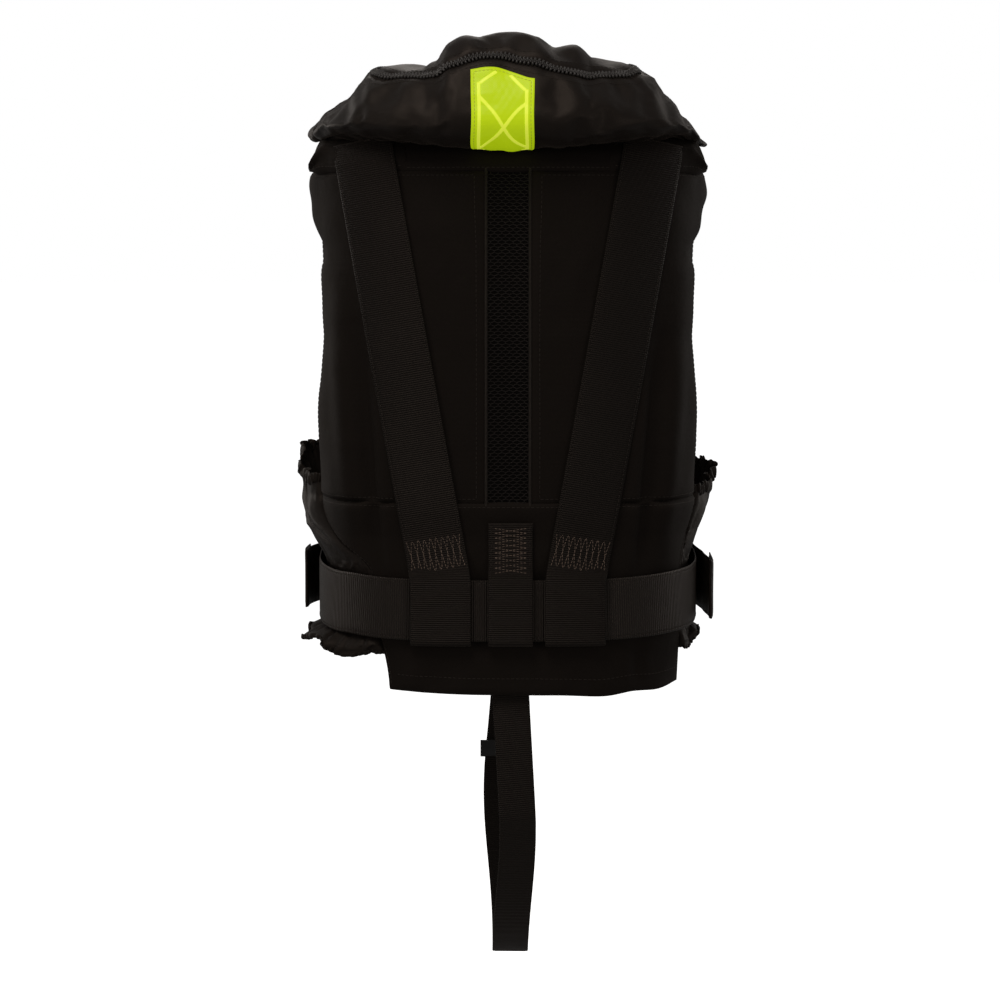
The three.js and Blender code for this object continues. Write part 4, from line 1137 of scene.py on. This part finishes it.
def tucked(points, s, phi):
    """The collar's lower edge drawn in to its seam on the vest."""
    row = cover_plain(s, SEAM_PHI)
    target = catmull(TUCK, np.clip(np.abs(s) * 7 / 3, 0, 1)) * vec(np.where(s < 0, -1, 1), 1, 1)
    outer = 1 - smooth(phi, SEAM_PHI, 62)
    inner = smooth(phi, 296, SEAM_PHI + 360)
    hold = np.maximum(outer, inner) * (1 - smooth(np.abs(s), 0.40, 0.52))
    return points + (target - row) * hold[..., None]


def shaped(s, phi, off):
    return tucked(slumped(cover_plain(s, phi, off)), s + 0 * phi, phi + 0 * s)


def find_zip():
    """Round each section of the collar, the angle at which its outer face reaches the zip's line."""
    s = np.linspace(-1, 1, 401)
    phi = np.arange(58, 150, 2.0)
    points = shaped(s[:, None], phi[None, :], COVER_INSET)
    above = looks_high(points) + ZIP_DROP - eased(points[..., 0], ZIP_LINE)
    first = np.argmax(above > 0, axis=1)
    angle = phi[np.where(above.max(axis=1) > 0, first, len(phi) - 1)]
    spread = np.exp(-((np.arange(-12, 13) / 5.0) ** 2))
    angle = np.convolve(np.pad(angle, 12, "edge"), spread / spread.sum(), "valid")
    return s, mix(angle, ZIP_PHI, smooth(np.abs(s), 0.24, 0.42))


ZIP_S, ZIP_ANGLE = find_zip()


def zip_phi(s):
    """Where the burst zip runs round the section."""
    return np.interp(s, ZIP_S, ZIP_ANGLE)


def settle_cover():
    """The whole horseshoe, packed full: cloth swells between the seams and creases along them."""
    s = np.linspace(-1, 1, COVER_ROWS)[:, None]
    phi = PHIS[None, :]
    grid = shaped(s, phi, COVER_INSET)
    inner = shaped(s, phi, -8)
    normal = unit(grid - inner)
    collar = bump(s, 0, 0.33)
    top = bump(phi, 150, 40)
    # soft folds: slanting ones over the collar's upper face, finer ones near the seams
    slant = np.sin(s * 46 + phi * 0.045) * 1.5 + np.sin(s * 23 - phi * 0.03 + 1.0) * 1.8
    lump = 2.2 * noise(grid, 70, 31) + 1.0 * noise(grid, 30, 32)
    seam = bump(phi, SEAM_PHI, 16) + bump(phi, SEAM_PHI + 360, 16)
    lines = 1.0 * np.sin(s * 150) * seam
    outward = lump + slant * top * collar + lines + 1.2 * noise(grid * [1, 1, 0.3], 26, 33)
    ends = smooth(np.abs(s), 0.955, 1.0)
    grid = grid + normal * (outward * (1 - seam * 0.6))[..., None]
    grid = mix(grid, cover_plain(s, phi, -9), (ends * 0.7)[..., None] * np.ones_like(grid))
    zip_line = np.abs(phi - (zip_phi(s) + ZIP_SPAN / 2)) < 5
    cross_seam = np.abs(np.abs(s) - COLLAR_END) < 0.006
    near_seam = (phi < SEAM_PHI + 15) | (phi > SEAM_PHI + 350)
    under_patch = (np.abs(s + 0.011) < 0.085) & (phi < 112)
    firm = zip_line | (np.abs(s) > 0.985) | (phi < SEAM_PHI + 3)
    held = np.zeros(grid.shape[:2])
    for where, share in ((cross_seam, 0.9), (near_seam | under_patch, 0.95), (firm, 1.0)):
        held = np.maximum(held, np.where(where, share, 0.0))
    return relax(grid, held, 0.012, 1.9, pressure=0.8, wrap=True)


def closed_cover():
    """The settled horseshoe as a surface, its last column back on its first."""
    settled = settle_cover()
    ends = np.concatenate([settled, settled[:, :1]], axis=1)
    s = np.linspace(-1, 1, COVER_ROWS)[:, None]
    core = cover_plain(s, np.append(PHIS, PHIS[0] + 360)[None, :], -9)
    return Skin(ends, core)


horseshoe = closed_cover()


def on_cover(s, phi, lift=0.0):
    """Points and normals on the settled horseshoe."""
    return horseshoe.at((np.asarray(phi, float) - SEAM_PHI) / 360, (np.asarray(s, float) + 1) / 2, lift)


cover_seams = []


def covers():
    parts = [
        ("collar_cover", "", -COLLAR_END + 0.0008, COLLAR_END - 0.0008, 150),
        ("lobe_cover", "_left", -1, -COLLAR_END, 110),
        ("lobe_cover", "_right", COLLAR_END, 1, 110),
    ]
    for stem, ending, s0, s1, rows in parts:
        tall = (s1 - s0) * COVER_RUN
        for half, columns, wide, zip_edge in (("outer", 46, 110, "right"), ("inner", 54, 150, "left")):
            u, v = squares(columns, rows)
            s = mix(s0, s1, v)
            if half == "outer":
                phi = mix(SEAM_PHI + 0.6, zip_phi(s) + 0.6, u)
            else:
                phi = mix(zip_phi(s) + ZIP_SPAN - 0.6, SEAM_PHI + 359.4, u)
            rounded = crown(u, v, wide, tall, 5)
            outer, normal = on_cover(s, phi, mix(-0.9, 0.5, rounded))
            inner = outer - normal * mix(1.0, 1.8, rounded)[..., None]
            surface = skin(f"{stem}_{half}{ending}_cloth", outer, inner, SOFT,
                           [f"{stem}_{half}{ending}"])
            cover_seams.extend(sewn(surface, 5.5, wide, tall, [zip_edge]))
            cover_seams.extend(sewn(surface, 3.0, wide, tall, ["low", "high"]))


TOOTH = spindle(
    [(-0.5, 0.62), (-0.42, 0.9), (-0.05, 0.9), (0.08, 0.6), (0.2, 0.62), (0.32, 0.95), (0.44, 0.85),
     (0.5, 0.45)],
    8, 0.6,
)


def chain(name, line, up, pitch, size, gape, stands_for=()):
    """Moulded zip teeth on both sides of a line, meshing head to head."""
    run = lengths(line)
    at = np.arange(pitch, run[-1] - pitch / 2, pitch / 2)
    origins, normal = read_off(at, run, line), unit(read_off(at, run, up))
    ahead = unit(np.gradient(origins, axis=0))
    side = np.cross(normal, ahead) * np.where(np.arange(len(at)) % 2, 1.0, -1.0)[:, None]
    axes = np.stack([side, np.cross(normal, side), normal], 1)
    sizes = np.broadcast_to(size, (len(at), 3))
    points, faces = repeat(*TOOTH, origins - side * gape, axes, sizes)
    piece(name, points, faces, TEETH, stands_for=stands_for)


def burst_zip():
    """The coarse moulded chain that bursts open, with its tapes tucked under both covers."""
    s = np.linspace(-0.95, 0.95, 700)
    middle = zip_phi(s) + ZIP_SPAN / 2
    line, up = on_cover(s, middle, 0.2)
    chain("burst_zip_teeth", line, up, pitch=3.1, size=(4.9, 1.0, 1.6), gape=1.05,
          stands_for=["burst_zip_chain"])
    for name, sign in (("outer", -1), ("inner", 1)):
        tape, _ = on_cover(s[::3], middle[::3] + sign * 3.2, -1.5)
        side, _ = on_cover(s[::3], middle[::3] + sign * 5.2, -1.5)
        ribbon(f"burst_zip_tape_{name}", tape, side - tape, 9, 0.8, TAPE)


def bladder():
    """The folded bladder inside the cover, drawn in from it and pleated, with tapered ends."""
    u, v = np.meshgrid(np.arange(36) / 36, np.linspace(0, 1, 160))
    s = mix(-0.8, 0.72, v)
    cloth_at, normal = on_cover(s, SEAM_PHI + 360 * u, 0)
    centre = cloth_at.mean(axis=1, keepdims=True)
    grid, core = mix(centre, cloth_at, 0.80), mix(centre, cloth_at, 0.55)
    pleat = 1.4 * np.sin(u * 2 * np.pi * 7 + 2 * np.sin(v * 20)) + 1.2 * noise(grid, 40, 41)
    taper = 1 - 0.6 * (smooth(v, 0.94, 1) + 1 - smooth(v, 0, 0.06))
    grid = mix(core, grid - normal * (1.4 + pleat)[..., None], taper[..., None])
    rows, columns = grid.shape[:2]
    faces = grid_faces(rows, columns, wrap=True)[:, ::-1].tolist()
    faces.append(list(range(columns)))
    faces.append([(rows - 1) * columns + k for k in reversed(range(columns))])
    obj = piece("bladder_folded", grid.reshape(-1, 3), faces, YELLOW,
                stands_for=["bladder"])


# The patch's welded lines, from [across, up] to [across, up] as shares of its size: a cross below
# two long sides and four cut corners.
WELDS = [
    ((-0.385, 0.70), (0.385, 0.13)), ((0.385, 0.70), (-0.385, 0.13)),
    ((-0.39, 0.07), (-0.39, 0.85)), ((0.39, 0.07), (0.39, 0.85)),
    ((-0.37, 0.84), (-0.12, 0.95)), ((0.37, 0.84), (0.12, 0.95)),
    ((-0.37, 0.08), (-0.30, 0.035)), ((0.37, 0.08), (0.30, 0.035)),
]


def reflective(name, s0, s1, phi0, phi1=None):
    """A prismatic patch with its welded border; the nape's one reaches the zip and has a cross."""
    at_nape = phi1 is None
    u, v = squares(96, 72)
    s = mix(s0, s1, v)
    if at_nape:
        phi1 = zip_phi(s) - 9
    phi = mix(phi0, phi1, u)
    if at_nape:
        s = s * mix(0.86, 1.06, u)
    # even steps over the cloth, so the welds lie straight
    drawn, _ = on_cover(s, phi)
    phi = np.array([np.interp(u[0] * run[-1], run, row) for run, row in zip(map(lengths, drawn), phi)])
    base, normal = on_cover(s, phi)
    width = np.linalg.norm(base[36, 0] - base[36, -1])
    height = np.linalg.norm(base[0, 48] - base[-1, 48])
    x, y = (u - 0.5) * width, (v - 0.5) * height
    border = np.maximum(np.abs(x) - width / 2, np.abs(y) - height / 2) + 7
    edge = np.minimum(width / 2 - np.abs(x), height / 2 - np.abs(y))
    lift = 0.9 + 0.55 * smooth(edge, 0, 1.2) - 0.4 * bump(edge, 2.2, 0.5) - 0.1 * bump(border, 0, 1)
    outer = base + normal * lift[..., None]
    surface = skin(f"{name}_prismatic", outer, base + normal * 0.7, PRISM, [name])
    lines = sewn(surface, 2.2, width, height, ["low", "high", "left", "right"])
    stitches(f"{name}_stitching", lines, YELLOW_THREAD, length=2.2, gap=0.9, radius=0.25)
    for k, (a, b) in enumerate(WELDS if at_nape else WELDS[2:6]):
        t = np.linspace(0, 1, 60)
        centres, up = surface.at(mix(a[1], b[1], t), 0.5 + mix(a[0], b[0], t), 0.05)
        wide = unit(np.cross(np.gradient(centres, axis=0), up))
        p, f, uv = sweep_mesh(centres, wide, up, webbing_section(2.6, 0.45))
        piece(f"{name}_weld_{k}", p, f, WELD, uv=uv)


# ---- webbing ------------------------------------------------------------------------------------

strap_seams = []


def strap_edges(centres, hint, width, thick):
    """Edge stitching along both selvedges of a strap, on its face away from the wearer."""
    _, wide, normal = frames_along(centres, hint)
    outward = normal * np.sign(np.sum((normal * centres)[:, :2], axis=1).mean())
    return [
        (centres + wide * sign * (width / 2 - 2.6) + outward * thick * 0.5, outward) for sign in (-1, 1)
    ]


def zigzag(x0, x1, z0, z1, strokes, surface):
    """Two crossing zigzag rows down a rectangle, laid on surface(x, z)."""
    k = np.arange(strokes + 1)
    t = np.linspace(0, 1, 14)
    z = mix(z0, z1, k / strokes)
    lines = []
    for flip in (0, 1):
        x = mix(x0, x1, (k + flip) % 2)
        lines += [surface(mix(x[i], x[i + 1], t), mix(z[i], z[i + 1], t)) for i in range(strokes)]
    return lines


def crossing(x0, x1, z0, z1, strokes, flipped, surface):
    """A tall zigzag across a strap; two of them, one flipped, make a row of crosses."""
    k = np.arange(strokes + 1)
    x = mix(x0, x1, k / strokes)
    z = np.where(k % 2 == flipped, z0, z1)
    line = resample([(a, b, 0) for a, b in zip(x, z)], 0.6)
    return surface(line[:, 0], line[:, 1])


UNDER = PANEL + 1.5 + WEB / 2
OVER = LOOP_OFF + WEB / 2


def strap_path(top):
    """[z, off] down the panel, out over the belt, round its lower edge and up behind it."""
    run = [(z, UNDER + 0.8 * smooth(z, -70, -42)) for z in np.arange(top, -381, -14)]
    run += [(TACK_LOW_Z, mix(UNDER, OVER, 0.45)), (-393, OVER - 0.4)]
    run += [(-402, OVER), (-420, OVER), (-440, OVER)]
    middle, radius = (OVER + UNDER) / 2, (OVER - UNDER) / 2
    for turn in np.radians([30, 60, 90, 120, 150]):
        run.append((LOOP_LOW_Z + radius * (1 - math.sin(turn)), middle + radius * math.cos(turn)))
    run += [(-440, UNDER), (-420, UNDER), (-398, UNDER)]
    return resample([(0, z, off) for z, off in run], 1.5)[:, 1:]


STRAP_START_Z = -42
STRAP_PATH = strap_path(STRAP_START_Z)
STRAP_DOWN = STRAP_PATH[: np.argmax(STRAP_PATH[:, 0] < -400)]


def laid_strap(name, node, top, middle, lean, width):
    """A strap that follows the vest across its width too, down from its top and round the belt."""
    path = strap_path(top)
    ahead = unit(np.gradient(path, axis=0))
    section = webbing_section(width, WEB)
    lean = lean * smooth(path[:, :1], STRAP_LEVEL_Z, STRAP_LEVEL_Z + 16)
    z = path[:, :1] + lean * section[None, :, 0] + ahead[:, 1:] * section[None, :, 1]
    off = path[:, 1:] - ahead[:, :1] * section[None, :, 1]
    x = middle(path[:, :1]) + section[None, :, 0] * (1 - lean**2) ** 0.5
    rings = on_back(x, z, off)
    points, faces, uv = tube_mesh(rings, rings.mean(axis=1), section[:, 0], lengths(path))
    piece(name, points, faces, STRAP, uv=uv, stands_for=[node])


def strap_face(x, z, lift=0.1, level=None):
    """Points on the outer face of a back strap or the middle loop, with their normals."""
    off = np.interp(-(z if level is None else level), -STRAP_DOWN[:, 0], STRAP_DOWN[:, 1])
    p = on_back(x, z, off + WEB / 2 + lift)
    return p, unit(p - on_back(x, z, 0.0))


def back_straps():
    """The two back straps and the middle belt loop, with their bar tacks above the belt."""
    tacks = []
    for name, sign in SIDES:
        lean = -sign * (STRAP_TOP_X - STRAP_BELT_X) / (STRAP_TOP_Z - BELT_Z)
        laid_strap(f"back_strap_{name}_webbing", f"back_strap_{name}", STRAP_START_Z,
                   lambda z, sign=sign: sign * strap_x(z), lean, BELT_WIDTH - 1)

        def face(dx, z, sign=sign, lean=lean):
            return strap_face(sign * strap_x(z) + dx, z + lean * dx, level=z)

        z = np.linspace(-46, -384, 300)
        for edge in (-1, 1):
            strap_seams.append(face(edge * (BELT_WIDTH / 2 - 3) + 0 * z, z))
        for first in (False, True):
            tacks.append(crossing(-TACK_HALF, TACK_HALF, TACK_TOP_Z, TACK_LOW_Z, 9, first, face))

    laid_strap("back_belt_loop_webbing", "back_belt_loop", LOOP_TOP_Z, lambda z: CENTRE_X + 0 * z, 0,
               LOOP_WIDTH)
    z = np.linspace(LOOP_TOP_Z - 2, -384, 40)
    for edge in (-1, 1):
        strap_seams.append(strap_face(CENTRE_X + edge * (LOOP_WIDTH / 2 - 2.4) + 0 * z, z))
    tacks += zigzag(CENTRE_X - LOOP_TACK_HALF, CENTRE_X + LOOP_TACK_HALF, LOOP_TOP_Z - 4, TACK_LOW_Z - 2,
                    9, strap_face)
    stitches("back_strap_bar_tacks", tacks, TACK_THREAD, length=2.1, gap=0.8, radius=0.2)


UPRIGHT = (0, 0, 1)


def belt_at(angle, up, off):
    flat = torso(angle, BELT_Z + 12, off)
    flat[..., 2] = BELT_Z + BELT_TILT * (flat[..., 1] - BELT_BACK_Y) + up
    return flat


def waist_belt():
    angle = np.linspace(-BELT_END, BELT_END, 1000)
    centres = belt_at(angle, 0.0, BELT_OFF + BELT_THICK / 2)
    run = lengths(centres)
    even = np.interp(np.linspace(0, run[-1], 480), run, angle)
    sway = 1.0 * noise(vec(even, 0 * even, 0 * even), 30, 51) * bump(np.abs(even), 62, 22)
    centres = belt_at(even, sway, BELT_OFF + BELT_THICK / 2)
    ribbon("belt_webbing_strap", centres, UPRIGHT, BELT_WIDTH, BELT_THICK, BELT,
           stands_for=["belt_webbing"])
    strap_seams.extend(strap_edges(centres, UPRIGHT, BELT_WIDTH, BELT_THICK))
    for name, sign, tail_end, front_start, front_body in (
        ("left", -1, 92.5, FRONT_START_X, "vest"), ("right", 1, 82, 40, "belt_male"),
    ):
        belt_tail(name, sign, tail_end)
        belt_keeper(name, sign)
        belt_front(name, sign, front_start, front_body)


def belt_tail(name, sign, end):
    """The belt's doubled-back tail, standing off it towards its end, which is turned back and sewn."""
    angle = np.linspace(BELT_END, end, 150)
    flare = 8.8 * (1 - smooth(angle, end + 0.5, end + 18)) ** 1.4
    tail = belt_at(sign * angle, 0.0, LOOP_OFF + BELT_THICK / 2 + flare)
    fold = [tail[-1] + unit(tail[-1] - tail[-4]) * 2.2 + [sign * 1.2, 0, 0]]
    back = belt_at(sign * np.linspace(end + 2, end + 8.5, 10), 0.0, LOOP_OFF + 2.9 + 8.6)
    back[:, 0] += sign * np.linspace(0.4, -0.9, 10)
    path = resample(np.vstack([tail[::3], fold, back]), 1.5)
    ribbon(f"belt_tail_{name}_webbing", path, UPRIGHT, BELT_WIDTH - 1, WEB, BELT,
           stands_for=[f"belt_tail_{name}"])
    strap_seams.extend(strap_edges(tail[::2], UPRIGHT, BELT_WIDTH - 1, WEB))


def belt_front(name, sign, start, body):
    """The doubled webbing from the belt's side to one half of its buckle."""
    t = np.linspace(0, 1, 60)
    x, y = sign * mix(start, FRONT_END_X, t), mix(BUCKLE_Y, FRONT_END_Y, t)
    for layer, shift in (("outer", 0.88), ("inner", -0.88)):
        path = vec(x, y + shift, FRONT_BELT_Z)
        ribbon(f"belt_front_{name}_{layer}", path, UPRIGHT, BELT_WIDTH - 2, 1.6, BELT, body=body,
               stands_for=[f"belt_front_{name}"])
    lines = []
    for at in (0.3, 0.36, 0.9):
        z = FRONT_BELT_Z + np.linspace(-21, 21, 40)
        p = vec(mix(x[0], x[-1], at), mix(y[0], y[-1], at) + 1.75, z)
        lines.append((p, np.broadcast_to([0.0, 1.0, 0.0], p.shape)))
    stitches(f"belt_front_{name}_stitching", lines, THREAD, body=body)


def belt_keeper(name, sign):
    """An elastic keeper round the belt and its tail."""
    half, low, high, corner = BELT_WIDTH / 2 + 2.2, 5.9, 15.3, 3.0
    turns = np.radians(np.arange(0, 360, 15))
    up = np.sign(np.cos(turns)) * (half - corner) + corner * np.cos(turns)
    off = np.sign(np.sin(turns)) * ((high - low) / 2 - corner) + corner * np.sin(turns)
    off += (low + high) / 2
    corners = np.stack([up, off], -1)
    dense = []
    for a, b in zip(corners, np.roll(corners, -1, axis=0)):
        count = max(1, round(np.linalg.norm(b - a) / 1.5))
        dense += [mix(a, b, k / count) for k in range(count)]
    dense = np.array(dense)
    path = belt_at(sign * (KEEPER_ANGLE + 0 * dense[:, 0]), dense[:, 0], dense[:, 1])
    before, after = (belt_at(sign * (KEEPER_ANGLE + step), 0.0, 10.0) for step in (-1, 1))
    ribbon(f"belt_keeper_{name}_elastic", path, unit(after - before), 16, 1.2, ELASTIC,
           stands_for=[f"belt_keeper_{name}"], closed=True)


def hang(y):
    return vec(0, y, CROTCH_LOW_Z + CROTCH_SAG * (np.cosh(y / CROTCH_SAG) - 1))


def crotch_strap():
    """One ribbon: sewn inside the lower back panel, out under its hem and round to the front buckle."""
    back = on_back(0.0, np.array([-438, -450, -462, -474, HEM_Z]), -2.0)
    share = np.linspace(0, 1, 17)
    down = -CROTCH_SAG * np.arcsinh(mix(math.sinh(-back[-1, 1] / CROTCH_SAG), 0, share[:-1] ** 0.7))
    up = 0.4 + CROTCH_SAG * np.arcsinh(mix(0, 4.2, share**1.4))
    buckle = [[0, CROTCH_FRONT_Y, -512.4], [0, CROTCH_FRONT_Y, -505]]
    path = np.vstack([back, hang(down), hang(up), buckle])
    swing = np.sin(np.pi * smooth(path[:, 2], CROTCH_LOW_Z, HEM_Z))
    path[:, 0] = CENTRE_X + np.where(path[:, 1] < 0.2, 6, -8) * swing
    path = resample(path, 1.5)
    twist = 0.16 * np.sin(np.linspace(0, 1, len(path)) * 2 * np.pi) * (path[:, 2] < -500)
    strap = ribbon("crotch_strap_webbing", path, vec(np.cos(twist), np.sin(twist), 0), CROTCH_WIDTH, WEB,
                   STRAP, body=None, stands_for=["crotch_strap_back", "crotch_strap_front"])
    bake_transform(strap)

    tab = vec(CENTRE_X, CROTCH_FRONT_Y, np.linspace(-376.4, -451.4, 60))
    ribbon("crotch_tab_front_webbing", tab, (1, 0, 0), CROTCH_WIDTH, WEB, STRAP,
           stands_for=["crotch_tab_front"])


def box_mm(node):
    """The middle and half-size of a node of the frame."""
    low, high = (np.array(corner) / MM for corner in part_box(node))
    return (low + high) / 2, (high - low) / 2


def loops():
    """The hang loop at the nape and the loop that carries the tether ring."""
    turn = np.radians(np.arange(0, 360, 6))
    middle, half = box_mm("hang_loop")
    x, z = (half[k] - 1 for k in (0, 2))
    path = middle + vec(x * power(np.cos(turn), 0.45), 0, z * power(np.sin(turn), 0.45))
    ribbon("hang_loop_webbing", path, (0, 1, 0), 2 * half[1], 1.5, ELASTIC, stands_for=["hang_loop"],
           closed=True)
    middle, half = box_mm("tether_loop")
    lean = math.atan2(BUCKLE_Y - FRONT_END_Y, FRONT_END_X - FRONT_START_X)
    y, z = 3.7 * power(np.cos(turn), 0.35), (half[2] - 0.8) * power(np.sin(turn), 0.2)
    path = middle + vec(-math.sin(lean) * y, math.cos(lean) * y, z)
    ribbon("tether_loop_webbing", resample(np.vstack([path, path[:1]]), 1.2)[:-1],
           (math.cos(lean), math.sin(lean), 0), 20, 1.2, STRAP, stands_for=["tether_loop"], closed=True)


def front_zip():
    y = FRONT_DEPTH + 2
    z = np.linspace(-440, -152, 200)
    line = vec(0, y, z)
    up = np.broadcast_to([0.0, 1.0, 0.0], line.shape)
    chain("front_zip_teeth", line, up, pitch=2.7, size=(4.4, 0.85, 1.5), gape=1.3)
    for name, sign in SIDES:
        ribbon(f"front_zip_tape_{name}", vec(sign * 6.9, y, z), (1, 0, 0), 10.4, 1.2, TAPE,
               stands_for=[f"front_zip_{name}"])


# The CAD pieces that keep their shape, by finish.
FITTINGS = {
    ZINC: ["front_zip_box", "front_zip_slider", "front_zip_pull", "burst_zip_slider"],
    BLACK: [
        "belt_buckle_female", "belt_buckle_male", "belt_prong_upper", "belt_prong_lower",
        "crotch_buckle_female", "crotch_buckle_male", "crotch_slide", "inflator_body", "oral_tube",
    ],
    GREEN: ["inflator_cap"],
    RED: ["inflator_lever", "pull_handle"],
    STEEL: ["co2_cylinder", "tether_ring"],
    ORANGE: ["oral_valve_pin", "oral_tube_cap", "whistle"],
}


def fitting(node, material):
    """Gives a CAD piece its finish, and eases its edges by a small bevel."""
    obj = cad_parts[node]
    obj.data.materials.clear()
    obj.data.materials.append(material)
    bevel = obj.modifiers.new("eased_edges", "BEVEL")
    bevel.width = 0.0005
    bevel.segments = 2
    bevel.limit_method = "ANGLE"
    bevel.angle_limit = math.radians(35)
    bevel.use_clamp_overlap = True
    bevel.harden_normals = True


back_panels()
spine_mesh()
shoulders_and_front()
gussets()
covers()
burst_zip()
bladder()
reflective("reflective_patch_back", -0.077, 0.055, -21)
reflective("reflective_patch_left", -0.66, -0.58, 38, 128)
reflective("reflective_patch_right", 0.58, 0.66, 38, 128)
back_straps()
waist_belt()
crotch_strap()
loops()
front_zip()
for finish, nodes in FITTINGS.items():
    for node in nodes:
        fitting(node, finish)
stitches("vest_stitching", vest_seams, THREAD, radius=0.26)
stitches("cover_stitching", cover_seams, THREAD, radius=0.26)
stitches("strap_stitching", strap_seams, THREAD, radius=0.26, length=2.4)
